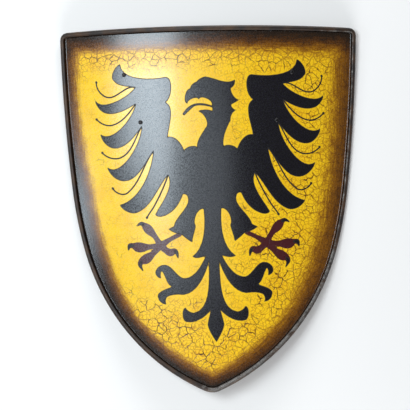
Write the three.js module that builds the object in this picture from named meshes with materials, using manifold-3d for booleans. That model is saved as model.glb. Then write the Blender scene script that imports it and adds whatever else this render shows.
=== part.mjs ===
// A curved triangular knight's shield in sheet steel, lying on its back with its face up.
// Millimetres, +Z up. +Y points to the shield's top edge and -Y to its point.
// The sheet is cut flat, its edge is rolled forwards into a bead, and the whole is bent
// round an axis that runs from top to point. So every shape here is worked out on the flat
// sheet, as (across, along, height above the middle of the sheet), and then bent.
import * as THREE from 'three';
import { mergeVertices } from 'three/addons/utils/BufferGeometryUtils.js';
import Module from 'manifold-3d';

// Sheet steel body
const shieldWidth = 560; // straight across the back at the top corners
const shieldHeight = 674; // top edge to point
const shieldDepth = 70; // how far the crown stands above the straight line between the corners
const sheetThickness = 1.2;

// Outline of one side, as arcs that run on into each other from the top corner to the point
const sideLean = 0.025; // radians that the side leans in at the top corner
const upperSideRadius = 2770;
const upperSideLength = 300;
const shoulderRadius = 720;
const shoulderLength = 110;
const innerCornerRadius = 3; // of the flat face, inside the bead, at a top corner
const innerPointRadius = 24; // of the flat face, inside the bead, at the point

// Rolled edge: the sheet dips over a small fold, then curls forwards and round into a bead
const beadDiameter = 10;
const foldRadius = 1.6; // to the middle of the sheet
const curlAngle = THREE.MathUtils.degToRad(328); // of bead that is there; the rest is the slit
const restFlatDepth = 0.3; // worn off the bead where the shield lies on it

// Rivets
const rivetHeadDiameter = 8;
const rivetHeadHeight = 2.4;
const rivetShankDiameter = 4;
const rivetTailDiameter = 12;
const rivetTailHeight = 1.6;
const rivetTailChamfer = 0.8;
const holeClearance = 0.3; // round the shank
const seatGap = 0.4; // between the sheet, a strap and the rivet heads
const upperRivetAcross = 157; // along the sheet, from its middle
const upperRivetDrop = 86; // from the top edge
const lowerRivetAcross = 126.5;
const lowerRivetDrop = 175;

// Straps
const strapWidth = 38;
const strapThickness = 4;
const strapFloorGap = 3; // between the lowest edge of a strap and what the shield lies on
const strapTab = 10; // from the rivet to the bend
const strapLap = 17; // from the rivet to the strap's end
const strapEndRadius = 12;
const strapBendRadius = 8;
const strapLegAngle = THREE.MathUtils.degToRad(75);

// How finely curves are divided
const columns = 24; // even, so that one runs down the crown
const cornerSteps = 3;
const upperSideSteps = 8;
const shoulderSteps = 4;
const lowerSideSteps = 9;
const pointSteps = 3;
const foldSteps = 3;
const curlInsideSteps = 7;
const curlOutsideSteps = 10;
const rivetSides = 14;
const rivetDomeSteps = 3;
const strapBendSteps = 3;
const strapBowSteps = 8;
const strapEndSteps = 3;

// The bent sheet
const halfWidth = shieldWidth / 2;
const bendRadius = (halfWidth ** 2 + shieldDepth ** 2) / (2 * shieldDepth);
const flatHalfWidth = bendRadius * Math.asin(halfWidth / bendRadius);
const halfSheet = sheetThickness / 2;

function bend(across, along, height) {
  const angle = across / bendRadius;
  const radius = bendRadius + height;
  const drop = bendRadius - shieldDepth;
  return new THREE.Vector3(radius * Math.sin(angle), along, radius * Math.cos(angle) - drop);
}

// The rolled edge's section: the bead's middle line and the fold before it
const beadMiddleRadius = (beadDiameter - sheetThickness) / 2;
const foldInset = beadDiameter - halfSheet + foldRadius; // from the edge to the fold's centre
const beadInset = beadDiameter / 2;
const cornerRadius = foldInset + innerCornerRadius;
const pointRadius = foldInset + innerPointRadius;

// Outline arcs: each has a centre, a radius and the range of its tangent's angle,
// measured from straight down towards the middle of the shield.
function outward(tangent) {
  return new THREE.Vector2(Math.cos(tangent), -Math.sin(tangent));
}

function tangentOf(direction) {
  return Math.atan2(-direction.y, direction.x);
}

function sideArcs() {
  const corner = new THREE.Vector2(flatHalfWidth, 0);
  const upperCentre = corner.clone().addScaledVector(outward(sideLean), -upperSideRadius);

  const reach = upperSideRadius - cornerRadius;
  const fall = -cornerRadius - upperCentre.y;
  const cornerCentre = new THREE.Vector2(
    upperCentre.x + Math.sqrt(reach ** 2 - fall ** 2),
    -cornerRadius,
  );
  const cornerEnd = tangentOf(cornerCentre.clone().sub(upperCentre));
  const upperEnd = sideLean + upperSideLength / upperSideRadius;

  const shoulderCentre = upperCentre
    .clone()
    .addScaledVector(outward(upperEnd), upperSideRadius - shoulderRadius);
  const shoulderEnd = upperEnd + shoulderLength / shoulderRadius;

  // The lower arc leaves the shoulder on its tangent and touches the point's own arc.
  const start = shoulderCentre.clone().addScaledVector(outward(shoulderEnd), shoulderRadius);
  const inward = outward(shoulderEnd).negate();
  const pointCentre = new THREE.Vector2(0, pointRadius - shieldHeight);
  const gap = start.clone().sub(pointCentre);
  const lowerRadius =
    (pointRadius ** 2 - gap.lengthSq()) / (2 * (gap.dot(inward) + pointRadius));
  const lowerCentre = start.clone().addScaledVector(inward, lowerRadius);
  const lowerEnd = tangentOf(pointCentre.clone().sub(lowerCentre));

  return [
    { centre: cornerCentre, radius: cornerRadius, from: -Math.PI / 2, to: cornerEnd, steps: cornerSteps },
    { centre: upperCentre, radius: upperSideRadius, from: cornerEnd, to: upperEnd, steps: upperSideSteps },
    { centre: shoulderCentre, radius: shoulderRadius, from: upperEnd, to: shoulderEnd, steps: shoulderSteps },
    { centre: lowerCentre, radius: lowerRadius, from: shoulderEnd, to: lowerEnd, steps: lowerSideSteps },
    { centre: pointCentre, radius: pointRadius, from: lowerEnd, to: Math.PI / 2, steps: pointSteps },
  ];
}

const arcs = sideArcs();

// Points down the right side at an inset, from the end of the straight top edge to the point.
function sidePoints(inset) {
  const points = [];
  for (const arc of arcs) {
    const first = points.length === 0 ? 0 : 1;
    for (let i = first; i <= arc.steps; i += 1) {
      const tangent = THREE.MathUtils.lerp(arc.from, arc.to, i / arc.steps);
      points.push(arc.centre.clone().addScaledVector(outward(tangent), arc.radius - inset));
    }
  }
  points[points.length - 1].x = 0;
  return points;
}

// A closed ring round the outline at an inset: along the top, down the right, up the left.
function ringPoints(inset) {
  const side = sidePoints(inset);
  const top = side[0];
  const ring = [];
  for (let i = 0; i <= columns; i += 1) {
    ring.push(new THREE.Vector2(top.x * ((2 * i) / columns - 1), top.y));
  }
  for (const p of side.slice(1)) ring.push(p.clone());
  for (const p of side.slice(1, -1).reverse()) ring.push(new THREE.Vector2(-p.x, p.y));
  return ring;
}

// The rolled edge's section, from the front of the sheet round to its back.
// The front of the sheet ends up inside the bead, and its back is what shows.
function rolledEdgeSection() {
  const section = [];
  const add = (centreInset, radius, angle) => {
    section.push({
      inset: centreInset - radius * Math.cos(angle),
      height: radius * Math.sin(angle) - foldRadius,
    });
  };
  for (let i = 0; i <= foldSteps; i += 1) {
    add(foldInset, foldRadius + halfSheet, (Math.PI / 2) * (1 - i / foldSteps));
  }
  for (let i = 1; i <= curlInsideSteps; i += 1) {
    add(beadInset, beadMiddleRadius - halfSheet, Math.PI + (curlAngle * i) / curlInsideSteps);
  }
  for (let i = curlOutsideSteps; i >= 1; i -= 1) {
    add(beadInset, beadMiddleRadius + halfSheet, Math.PI + (curlAngle * i) / curlOutsideSteps);
  }
  for (let i = foldSteps; i >= 0; i -= 1) {
    add(foldInset, foldRadius - halfSheet, (Math.PI / 2) * (1 - i / foldSteps));
  }
  return section;
}

// A closed surface as vertices and triangles, in the form that a BufferGeometry takes.
class Surface {
  constructor() {
    this.positions = [];
    this.triangles = [];
  }

  point(vector) {
    this.positions.push(vector.x, vector.y, vector.z);
    return this.positions.length / 3 - 1;
  }

  triangle(a, b, c) {
    if (a !== b && b !== c && c !== a) this.triangles.push(a, b, c);
  }

  // Joins two rings of as many points each. Seen from outside, the first lies above the second.
  band(upper, lower) {
    upper.forEach((a, i) => {
      const next = (i + 1) % upper.length;
      this.triangle(a, lower[i], lower[next]);
      this.triangle(a, lower[next], upper[next]);
    });
  }

  // Closes a ring of six points: two rows of three that face each other.
  cap([a, b, c, d, e, f]) {
    this.triangle(a, e, b);
    this.triangle(a, f, e);
    this.triangle(b, d, c);
    this.triangle(b, e, d);
  }

  geometry() {
    const made = new THREE.BufferGeometry();
    made.setAttribute('position', new THREE.Float32BufferAttribute(this.positions, 3));
    made.setIndex(this.triangles);
    return made;
  }
}

// One face of the sheet inside the rolled edge: rows from side to side, the last one the point.
// Its border is the given ring, whose points it uses again.
function addFace(surface, ring, inset, height, facesFront) {
  const side = sidePoints(inset);
  const last = side.length - 1;
  const rows = side.map((edge, row) => {
    if (row === 0) return ring.slice(0, columns + 1);
    if (row === last) return Array(columns + 1).fill(ring[columns + last]);
    const indices = [];
    for (let i = 0; i <= columns; i += 1) {
      if (i === 0) indices.push(ring[ring.length - row]);
      else if (i === columns) indices.push(ring[columns + row]);
      else indices.push(surface.point(bend(edge.x * ((2 * i) / columns - 1), edge.y, height)));
    }
    return indices;
  });
  for (let row = 0; row < last; row += 1) {
    for (let i = 0; i < columns; i += 1) {
      const [a, b] = [rows[row][i], rows[row][i + 1]];
      const [c, d] = [rows[row + 1][i], rows[row + 1][i + 1]];
      if (facesFront) {
        surface.triangle(a, c, d);
        surface.triangle(a, d, b);
      } else {
        surface.triangle(a, d, c);
        surface.triangle(a, b, d);
      }
    }
  }
}

function plateGeometry() {
  const surface = new Surface();
  const section = rolledEdgeSection();
  const rings = section.map(({ inset, height }) =>
    ringPoints(inset).map((p) => surface.point(bend(p.x, p.y, height))),
  );
  for (let i = 0; i + 1 < rings.length; i += 1) surface.band(rings[i + 1], rings[i]);
  addFace(surface, rings[0], foldInset, halfSheet, true);
  addFace(surface, rings[rings.length - 1], foldInset, -halfSheet, false);
  return surface.geometry();
}

// Joining and cutting
const mergeDistance = 1e-4;
const wasm = await Module();
wasm.setup();

function solidOf(geometry) {
  const bare = geometry.clone();
  bare.deleteAttribute('normal');
  bare.deleteAttribute('uv');
  const merged = mergeVertices(bare, mergeDistance);
  return new wasm.Manifold(
    new wasm.Mesh({
      numProp: 3,
      vertProperties: new Float32Array(merged.attributes.position.array),
      triVerts: new Uint32Array(merged.index.array),
    }),
  );
}

function geometryOf(solid) {
  const mesh = solid.getMesh();
  const made = new THREE.BufferGeometry();
  made.setAttribute('position', new THREE.Float32BufferAttribute(mesh.vertProperties, 3));
  made.setIndex(Array.from(mesh.triVerts));
  return made;
}

function cut(geometry, tools) {
  return geometryOf(tools.reduce((solid, tool) => solid.subtract(solidOf(tool)), solidOf(geometry)));
}

// Rivets: a dome in front, a shank through sheet and strap, and a flat tail behind.
const strapFront = halfSheet + seatGap; // depth behind the middle of the sheet
const strapBack = strapFront + strapThickness;

function rivetGeometry() {
  const headRadius = rivetHeadDiameter / 2;
  const tailRadius = rivetTailDiameter / 2;
  const shankRadius = rivetShankDiameter / 2;
  const headSeat = halfSheet + seatGap;
  const tailSeat = -strapBack - seatGap;
  const profile = [
    new THREE.Vector2(0, tailSeat - rivetTailHeight),
    new THREE.Vector2(tailRadius - rivetTailChamfer, tailSeat - rivetTailHeight),
    new THREE.Vector2(tailRadius, tailSeat - rivetTailHeight + rivetTailChamfer),
    new THREE.Vector2(tailRadius, tailSeat),
    new THREE.Vector2(shankRadius, tailSeat),
    new THREE.Vector2(shankRadius, headSeat),
  ];
  for (let i = 0; i < rivetDomeSteps; i += 1) {
    const angle = (Math.PI / 2) * (i / rivetDomeSteps);
    profile.push(
      new THREE.Vector2(headRadius * Math.cos(angle), headSeat + rivetHeadHeight * Math.sin(angle)),
    );
  }
  profile.push(new THREE.Vector2(0, headSeat + rivetHeadHeight));
  return new THREE.LatheGeometry(profile, rivetSides);
}

// Turns a lathe's own axis, +Y, to the sheet's outward direction at a rivet.
function standOnSheet(object, rivet) {
  object.position.copy(bend(rivet.across, rivet.along, 0));
  object.quaternion.setFromUnitVectors(
    new THREE.Vector3(0, 1, 0),
    new THREE.Vector3(
      Math.sin(rivet.across / bendRadius),
      0,
      Math.cos(rivet.across / bendRadius),
    ),
  );
  object.updateMatrix();
}

function holeTool(rivet) {
  const depth = 2 * (strapBack + rivetTailHeight + rivetHeadHeight);
  const radius = rivetShankDiameter / 2 + holeClearance;
  const tool = new THREE.Object3D();
  standOnSheet(tool, rivet);
  return new THREE.CylinderGeometry(radius, radius, depth, rivetSides).applyMatrix4(tool.matrix);
}

// Each side of the shield has one strap, held by an upper and a lower rivet.
const sides = [
  { name: 'left', sign: -1 },
  { name: 'right', sign: 1 },
].map(({ name, sign }) => {
  const rivets = {
    upper: { across: sign * upperRivetAcross, along: -upperRivetDrop },
    lower: { across: sign * lowerRivetAcross, along: -lowerRivetDrop },
  };
  return { name, rivets };
});

// The middle line of a strap, as [distance along, depth of its middle behind the sheet],
// from its middle to one end: bow, straight leg, bend and flat tab.
function strapMiddleLine(halfSpan, clearHeight) {
  const seat = strapFront + strapThickness / 2;
  const sin = Math.sin(strapLegAngle);
  const cos = Math.cos(strapLegAngle);
  const reach = halfSpan - strapTab - strapBendRadius * sin;
  const rise = clearHeight - strapBendRadius * (1 - cos);
  const bowRadius = (cos * rise - sin * reach) / (cos - 1);
  const bowDepth = seat + clearHeight;
  const line = [];
  for (let i = 0; i <= strapBowSteps / 2; i += 1) {
    const angle = (strapLegAngle * i) / (strapBowSteps / 2);
    line.push([bowRadius * Math.sin(angle), bowDepth - bowRadius * (1 - Math.cos(angle))]);
  }
  for (let i = 0; i <= strapBendSteps; i += 1) {
    const angle = strapLegAngle * (1 - i / strapBendSteps);
    line.push([
      halfSpan - strapTab - strapBendRadius * Math.sin(angle),
      seat + strapBendRadius * (1 - Math.cos(angle)),
    ]);
  }
  const roundStart = halfSpan + strapLap - strapEndRadius;
  for (let i = 0; i <= strapEndSteps; i += 1) {
    const angle = (Math.PI / 2) * (i / strapEndSteps);
    line.push([roundStart + strapEndRadius * Math.sin(angle), seat]);
  }
  return line;
}

// Half the strap's width where its end is rounded off, at a distance beyond the rivet.
function strapHalfWidth(beyondRivet) {
  const intoRound = beyondRivet - (strapLap - strapEndRadius);
  if (intoRound <= 0) return strapWidth / 2;
  const side = Math.sqrt(Math.max(0, strapEndRadius ** 2 - intoRound ** 2));
  return strapWidth / 2 - strapEndRadius + side;
}

// How far a strap can bow away from the sheet: until the outer edge of its back is a gap away
// from what the shield lies on.
function strapClearHeight(middle, pose) {
  const outerEdge = middle.x + (Math.sign(middle.x) * strapWidth) / 2;
  const laidFlat = bend(outerEdge, middle.y, -strapBack).applyMatrix4(pose);
  const slope = outerEdge / bendRadius;
  return (laidFlat.z - strapFloorGap) / Math.cos(slope);
}

function strapGeometry({ upper, lower }, pose) {
  const middle = new THREE.Vector2(
    (upper.across + lower.across) / 2,
    (upper.along + lower.along) / 2,
  );
  const along = new THREE.Vector2(upper.across - lower.across, upper.along - lower.along);
  const halfSpan = along.length() / 2;
  along.normalize();
  const across = new THREE.Vector2(along.y, -along.x);

  const half = strapMiddleLine(halfSpan, strapClearHeight(middle, pose));
  const line = [
    ...half.slice(1).reverse().map(([s, depth]) => [-s, depth]),
    ...half,
  ];
  const surface = new Surface();
  const rings = line.map(([s, depth], i) => {
    const before = line[Math.max(i - 1, 0)];
    const after = line[Math.min(i + 1, line.length - 1)];
    const run = new THREE.Vector2(after[0] - before[0], after[1] - before[1]).normalize();
    const width = strapHalfWidth(Math.abs(s) - halfSpan);
    const at = (w, side) => {
      const offset = (side * strapThickness) / 2;
      const flat = middle
        .clone()
        .addScaledVector(along, s - run.y * offset)
        .addScaledVector(across, w);
      return surface.point(bend(flat.x, flat.y, -(depth + run.x * offset)));
    };
    return [at(-width, -1), at(0, -1), at(width, -1), at(width, 1), at(0, 1), at(-width, 1)];
  });
  for (let i = 0; i + 1 < rings.length; i += 1) surface.band(rings[i + 1], rings[i]);
  surface.cap(rings[0]);
  surface.cap(rings[rings.length - 1].slice().reverse());
  return surface.geometry();
}

// How the shield lies: it rocks on the rolled edges of its two sides, which rise towards the
// point, until its weight is over the stretch that it stands on.
function centroid(geometry) {
  const position = geometry.attributes.position;
  const corner = [new THREE.Vector3(), new THREE.Vector3(), new THREE.Vector3()];
  const sum = new THREE.Vector3();
  let volume = 0;
  for (let i = 0; i < geometry.index.count; i += 3) {
    corner.forEach((v, k) => v.fromBufferAttribute(position, geometry.index.getX(i + k)));
    const [a, b, c] = corner;
    const part = a.dot(b.clone().cross(c)) / 6;
    volume += part;
    sum.addScaledVector(a.clone().add(b).add(c), part / 4);
  }
  return sum.divideScalar(volume);
}

function restingPose(geometry) {
  const position = geometry.attributes.position;
  const points = [];
  for (let i = 0; i < position.count; i += 1) {
    points.push(new THREE.Vector2(position.getY(i), position.getZ(i)));
  }
  points.sort((a, b) => a.x - b.x || a.y - b.y);
  const hull = []; // the lower side of the shield's side view
  const turn = (a, b, c) => b.clone().sub(a).cross(c.clone().sub(b));
  for (const p of points) {
    while (hull.length > 1 && turn(hull.at(-2), hull.at(-1), p) <= 0) hull.pop();
    hull.push(p);
  }
  const centre = centroid(geometry);
  const weight = new THREE.Vector2(centre.y, centre.z);
  const spans = (i) => {
    const run = hull[i + 1].clone().sub(hull[i]);
    const share = weight.clone().sub(hull[i]).dot(run) / run.lengthSq();
    return share >= 0 && share <= 1;
  };
  const stretch = hull.slice(0, -1).findIndex((_, i) => spans(i));
  const run = hull[stretch + 1].clone().sub(hull[stretch]);
  return { tilt: -Math.atan2(run.y, run.x), support: hull[stretch] };
}

// Steel body, drilled and with its resting spots worn flat
const rivets = sides.flatMap(({ rivets: { upper, lower } }) => [upper, lower]);
const drilledPlate = cut(plateGeometry(), rivets.map(holeTool));
const { tilt, support } = restingPose(drilledPlate);

const shield = new THREE.Group();
shield.rotation.x = tilt;
shield.updateMatrix();
const lowest = new THREE.Vector3(0, support.x, support.y).applyMatrix4(shield.matrix).z;

const lying = drilledPlate.clone().applyMatrix4(shield.matrix);
lying.computeBoundingBox();
const middleAlong = lying.boundingBox.getCenter(new THREE.Vector3()).y;
shield.position.set(0, -middleAlong, -lowest - restFlatDepth);
shield.updateMatrix();

const floor = new THREE.BoxGeometry(2 * shieldWidth, 2 * shieldHeight, shieldDepth)
  .translate(0, 0, -shieldDepth / 2)
  .applyMatrix4(shield.matrix.clone().invert());

const steel = new THREE.MeshStandardMaterial({ color: 0xe0b21c, roughness: 0.4, metalness: 0.1 });
const blackened = new THREE.MeshStandardMaterial({ color: 0x17161a, roughness: 0.4, metalness: 0.6 });
const leather = new THREE.MeshStandardMaterial({ color: 0x4a2c1a, roughness: 0.7, metalness: 0 });

const plate = new THREE.Mesh(cut(drilledPlate, [floor]), steel);
plate.name = 'shield_plate';
shield.add(plate);

for (const side of sides) {
  for (const [place, rivet] of Object.entries(side.rivets)) {
    const mesh = new THREE.Mesh(rivetGeometry(), blackened);
    mesh.name = `rivet_${side.name}_${place}`;
    standOnSheet(mesh, rivet);
    shield.add(mesh);
  }
  const holes = Object.values(side.rivets).map(holeTool);
  const strap = new THREE.Mesh(cut(strapGeometry(side.rivets, shield.matrix), holes), leather);
  strap.name = `strap_${side.name}`;
  shield.add(strap);
}

const part = new THREE.Group();
part.add(shield);

export default part;
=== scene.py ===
"""The looks of a painted steel heater shield that lies on its back with its face up.

Sizes are in millimetres. Every shape is worked out on the flat sheet as (across, along, height):
across is measured from the middle of the sheet, along is 0 at the top edge and negative towards the
point, and height stands off the middle of the metal. The sheet is then bent and laid down.
"""
import logging
import math
from dataclasses import dataclass, field
from enum import Enum
from typing import Any, Sequence

import bpy
import numpy as np
from mathutils import Matrix, Vector


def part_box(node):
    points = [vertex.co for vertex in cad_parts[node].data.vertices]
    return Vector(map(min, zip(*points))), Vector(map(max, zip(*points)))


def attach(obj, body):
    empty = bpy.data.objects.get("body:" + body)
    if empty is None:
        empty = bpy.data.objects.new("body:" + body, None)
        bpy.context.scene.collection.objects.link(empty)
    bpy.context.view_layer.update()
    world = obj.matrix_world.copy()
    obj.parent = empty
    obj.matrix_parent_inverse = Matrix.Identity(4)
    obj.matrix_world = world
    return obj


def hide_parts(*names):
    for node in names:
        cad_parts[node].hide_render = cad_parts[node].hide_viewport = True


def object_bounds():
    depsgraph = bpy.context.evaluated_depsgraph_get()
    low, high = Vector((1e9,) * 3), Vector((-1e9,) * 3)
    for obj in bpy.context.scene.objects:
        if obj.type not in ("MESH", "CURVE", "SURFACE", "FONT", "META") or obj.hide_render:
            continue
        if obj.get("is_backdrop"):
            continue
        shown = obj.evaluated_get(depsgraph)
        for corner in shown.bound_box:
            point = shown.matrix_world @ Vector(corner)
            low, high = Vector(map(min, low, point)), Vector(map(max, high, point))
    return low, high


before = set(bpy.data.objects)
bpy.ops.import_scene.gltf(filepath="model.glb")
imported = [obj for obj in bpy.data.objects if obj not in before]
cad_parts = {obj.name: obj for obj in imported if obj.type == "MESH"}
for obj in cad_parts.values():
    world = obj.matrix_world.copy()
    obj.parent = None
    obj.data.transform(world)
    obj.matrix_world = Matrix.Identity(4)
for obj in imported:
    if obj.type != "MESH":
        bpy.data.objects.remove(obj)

MM = 0.001
BLOCK = 3000
TINY = 1e-9
Array = np.ndarray
Colour = tuple[float, float, float, float]
Stops = Sequence[tuple[float, tuple[float, float, float]]]
log = logging.getLogger("shield")


# Meshes

def put(name: str, data: Any) -> bpy.types.Object:
    """Makes an object of some data and links it to the scene.

    Args:
        name: of the object.
        data: its mesh, light or camera.

    Returns:
        The object.
    """
    made = bpy.data.objects.new(name, data)
    bpy.context.scene.collection.objects.link(made)
    return made


def new_piece(name: str, points: Array, quads: Array, triangles: Array | None = None) -> bpy.types.Object:
    """Makes a mesh object from whole arrays.

    Args:
        name: the piece's name.
        points: n by 3, in millimetres, where they lie in the row's frame.
        quads: faces of four corners, as indices.
        triangles: faces of three corners, where there are any.

    Returns:
        The object, linked to the scene, with smooth faces.
    """
    if triangles is None:
        triangles = np.empty((0, 3), dtype=np.int64)
    mesh = bpy.data.meshes.new(name)
    mesh.vertices.add(len(points))
    mesh.vertices.foreach_set("co", (points * MM).astype(np.float32).ravel())
    corners = np.concatenate([quads.ravel(), triangles.ravel()]).astype(np.int32)
    sizes = np.concatenate([np.full(len(quads), 4), np.full(len(triangles), 3)])
    starts = np.concatenate([[0], np.cumsum(sizes)[:-1]]).astype(np.int32)
    mesh.loops.add(len(corners))
    mesh.loops.foreach_set("vertex_index", corners)
    mesh.polygons.add(len(sizes))
    mesh.polygons.foreach_set("loop_start", starts)
    mesh.polygons.foreach_set("use_smooth", np.ones(len(sizes), dtype=bool))
    mesh.update(calc_edges=True)
    mesh.validate()
    return put(name, mesh)


def paint_attribute(piece: bpy.types.Object, name: str, values: Array) -> None:
    """Stores what a piece's material reads.

    Args:
        piece: the mesh object.
        name: of the attribute.
        values: one number, or one vector, for each point.
    """
    kind, key = ("FLOAT", "value") if values.ndim == 1 else ("FLOAT_VECTOR", "vector")
    stored = piece.data.attributes.new(name, kind, "POINT")
    stored.data.foreach_set(key, values.astype(np.float32).ravel())


def tube_faces(rings: int, around: int) -> Array:
    """Quads that join rings of as many points each.

    Args:
        rings: how many there are.
        around: points in each, anticlockwise as seen from the last ring.

    Returns:
        n by 4 indices, all facing outwards.
    """
    place = np.arange(around)
    here = np.arange(rings - 1)[:, None] * around + place
    after = here - place + (place + 1) % around
    return np.stack([here, after, after + around, here + around], -1).reshape(-1, 4)


def smooth_step(low: float, high: float, value: Array) -> Array:
    """0 at low and before it, 1 at high and past it, and 3t^2 - 2t^3 between them."""
    t = np.clip((value - low) / (high - low), 0, 1)
    return t * t * (3 - 2 * t)


def blend(first: Any, second: Any, share: Array) -> Array:
    """Goes from first to second as share goes from 0 to 1."""
    return first + (second - first) * share


def outward(tangent: Any) -> Array:
    """The outline's outward normal where its tangent has turned by an angle from straight down."""
    return np.stack([np.cos(tangent), -np.sin(tangent)], -1)


# The bent sheet

@dataclass(frozen=True)
class Arc:
    """One arc of the outline, between two angles of its tangent.

    The angle is how far the tangent has turned from straight down: -pi / 2 along the top edge, 0
    where the side runs straight down, and pi / 2 at the point.
    """

    centre: Array
    radius: float
    start: float
    end: float
    steps: int

    def points(self, inset: float) -> Array:
        """Points along the arc, moved into the sheet by inset: centre + (radius - inset) * outward."""
        angle = np.linspace(self.start, self.end, self.steps + 1)
        return self.centre + (self.radius - inset) * outward(angle)


@dataclass(frozen=True)
class SheetShape:
    """The steel sheet's outline, its bend and its rolled edge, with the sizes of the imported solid."""

    width: float = 560.0
    height: float = 674.0
    depth: float = 70.0
    thickness: float = 1.2
    side_lean: float = 0.025
    upper_radius: float = 2770.0
    upper_length: float = 300.0
    shoulder_radius: float = 720.0
    shoulder_length: float = 110.0
    inner_corner: float = 3.0
    inner_point: float = 24.0
    bead: float = 10.0
    fold_radius: float = 1.6
    curl: float = math.radians(328)
    steps: tuple[int, int, int, int, int] = (4, 130, 48, 100, 6)
    columns: int = 228
    crowding: float = 0.12

    @property
    def bend_radius(self) -> float:
        """Radius of a circle with the sheet's width as chord and its depth as rise."""
        return ((self.width / 2) ** 2 + self.depth**2) / (2 * self.depth)

    @property
    def flat_half(self) -> float:
        """Half the sheet's width, measured along the sheet."""
        return self.bend_radius * math.asin(self.width / 2 / self.bend_radius)

    @property
    def fold_inset(self) -> float:
        """Distance from the edge to the centre of the fold before the bead."""
        return self.bead - self.thickness / 2 + self.fold_radius

    def bend(self, sheet: Array) -> Array:
        """Bends flat points: angle = across / R, then (R + height) * (sin, cos) less R - depth.

        Args:
            sheet: rows of (across, along, height off the middle of the metal).

        Returns:
            The bent points, in as many rows.
        """
        angle = sheet[..., 0] / self.bend_radius
        reach = self.bend_radius + sheet[..., 2]
        lowered = reach * np.cos(angle) - (self.bend_radius - self.depth)
        return np.stack([reach * np.sin(angle), sheet[..., 1], lowered], -1)

    def arcs(self) -> list[Arc]:
        """The arcs of the right side: corner, upper side, shoulder, lower side and point.

        Each touches the next. The upper side starts level with the top edge, and the lower side's
        radius is the one that touches both the shoulder and the round of the point.

        Returns:
            The five arcs, from the top edge down.
        """
        corner_radius = self.fold_inset + self.inner_corner
        point_radius = self.fold_inset + self.inner_point
        upper = np.array([self.flat_half, 0.0]) - self.upper_radius * outward(self.side_lean)
        reach = self.upper_radius - corner_radius
        fall = -corner_radius - upper[1]
        corner = np.array([upper[0] + math.sqrt(reach**2 - fall**2), -corner_radius])
        corner_end = math.atan2(upper[1] - corner[1], corner[0] - upper[0])
        upper_end = self.side_lean + self.upper_length / self.upper_radius
        shoulder = upper + (self.upper_radius - self.shoulder_radius) * outward(upper_end)
        shoulder_end = upper_end + self.shoulder_length / self.shoulder_radius
        start = shoulder + self.shoulder_radius * outward(shoulder_end)
        inward = -outward(shoulder_end)
        point = np.array([0.0, point_radius - self.height])
        gap = start - point
        lower_radius = (point_radius**2 - gap @ gap) / (2 * (gap @ inward + point_radius))
        lower = start + lower_radius * inward
        lower_end = math.atan2(lower[1] - point[1], point[0] - lower[0])
        corner_steps, upper_steps, shoulder_steps, lower_steps, point_steps = self.steps
        return [
            Arc(corner, corner_radius, -math.pi / 2, corner_end, corner_steps),
            Arc(upper, self.upper_radius, corner_end, upper_end, upper_steps),
            Arc(shoulder, self.shoulder_radius, upper_end, shoulder_end, shoulder_steps),
            Arc(lower, lower_radius, shoulder_end, lower_end, lower_steps),
            Arc(point, point_radius, lower_end, math.pi / 2, point_steps),
        ]

    def side(self, inset: float) -> Array:
        """Points down the right side at an inset, from the straight top edge to the point.

        Args:
            inset: from the outline.

        Returns:
            n by 2 points.
        """
        parts = [arc.points(inset) for arc in self.arcs()]
        points = np.concatenate([parts[0]] + [part[1:] for part in parts[1:]])
        points[-1, 0] = 0
        return points

    def spread(self) -> Array:
        """Places of the columns from -1 to 1: (1 - c) s + c s^5 for a crowding c towards the middle."""
        s = np.linspace(-1, 1, self.columns + 1)
        return (1 - self.crowding) * s + self.crowding * s**5

    def ring(self, inset: float) -> Array:
        """A closed ring round the outline: along the top, down the right side, up the left side.

        Args:
            inset: from the outline.

        Returns:
            n by 2 points.
        """
        side = self.side(inset)
        top = np.stack([side[0, 0] * self.spread(), np.full(self.columns + 1, side[0, 1])], -1)
        left = side[1:-1][::-1] * [-1, 1]
        return np.concatenate([top, side[1:], left])


@dataclass(frozen=True)
class Resting:
    """How the shield lies: tipped about X, then moved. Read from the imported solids."""

    tilt: float
    shift: tuple[float, float, float]

    @staticmethod
    def from_frame(shape: SheetShape) -> "Resting":
        """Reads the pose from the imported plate.

        The points over the middle of the plate lie along its crown: their slope is the tilt, and
        their height at a place gives the lift. The plate's box is centred on the row's origin.

        Args:
            shape: the sheet, in its own frame.

        Returns:
            The pose that carries the sheet's own frame into the row's frame.
        """
        on_middle, clear_of_ends = 0.01, 0.4
        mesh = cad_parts["shield_plate"].data
        points = np.empty(len(mesh.vertices) * 3, dtype=np.float32)
        mesh.vertices.foreach_get("co", points)
        points = points.reshape(-1, 3) / MM
        on_crown = np.abs(points[:, 0]) < on_middle
        on_crown &= np.abs(points[:, 1]) < clear_of_ends * shape.height
        slope, lift = np.polyfit(points[on_crown, 1], points[on_crown, 2], 1)
        tilt = math.atan(slope)
        ring = shape.ring(shape.bead / 2)
        edge = np.stack([ring[:, 0], ring[:, 1], np.full(len(ring), -shape.fold_radius)], -1)
        edge = shape.bend(edge)
        along = edge[:, 1] * math.cos(tilt) - edge[:, 2] * math.sin(tilt)
        middle = (along.min() + along.max()) / 2
        crown = np.array([-middle, shape.depth])
        height = crown[0] * math.sin(tilt) + crown[1] * math.cos(tilt)
        place = crown[0] * math.cos(tilt) - crown[1] * math.sin(tilt) - middle
        return Resting(tilt, (0.0, -middle, lift + slope * place - height))

    def matrix(self) -> Matrix:
        """The pose as a matrix, in millimetres."""
        return Matrix.Translation(self.shift) @ Matrix.Rotation(self.tilt, 4, "X")

    def place(self, points: Array) -> Array:
        """Carries points from the shield's own frame into the row's frame."""
        matrix = np.array(self.matrix())
        return points @ matrix[:3, :3].T + matrix[:3, 3]


# The painted figure

@dataclass(frozen=True)
class Edge:
    """One edge of a painted outline: where it ends, and the angles at which it leaves and arrives.

    Both angles are in degrees, anticlockwise from the straight line between its two ends.
    """

    x: float
    y: float
    leave: float = 0.0
    arrive: float = 0.0


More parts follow.
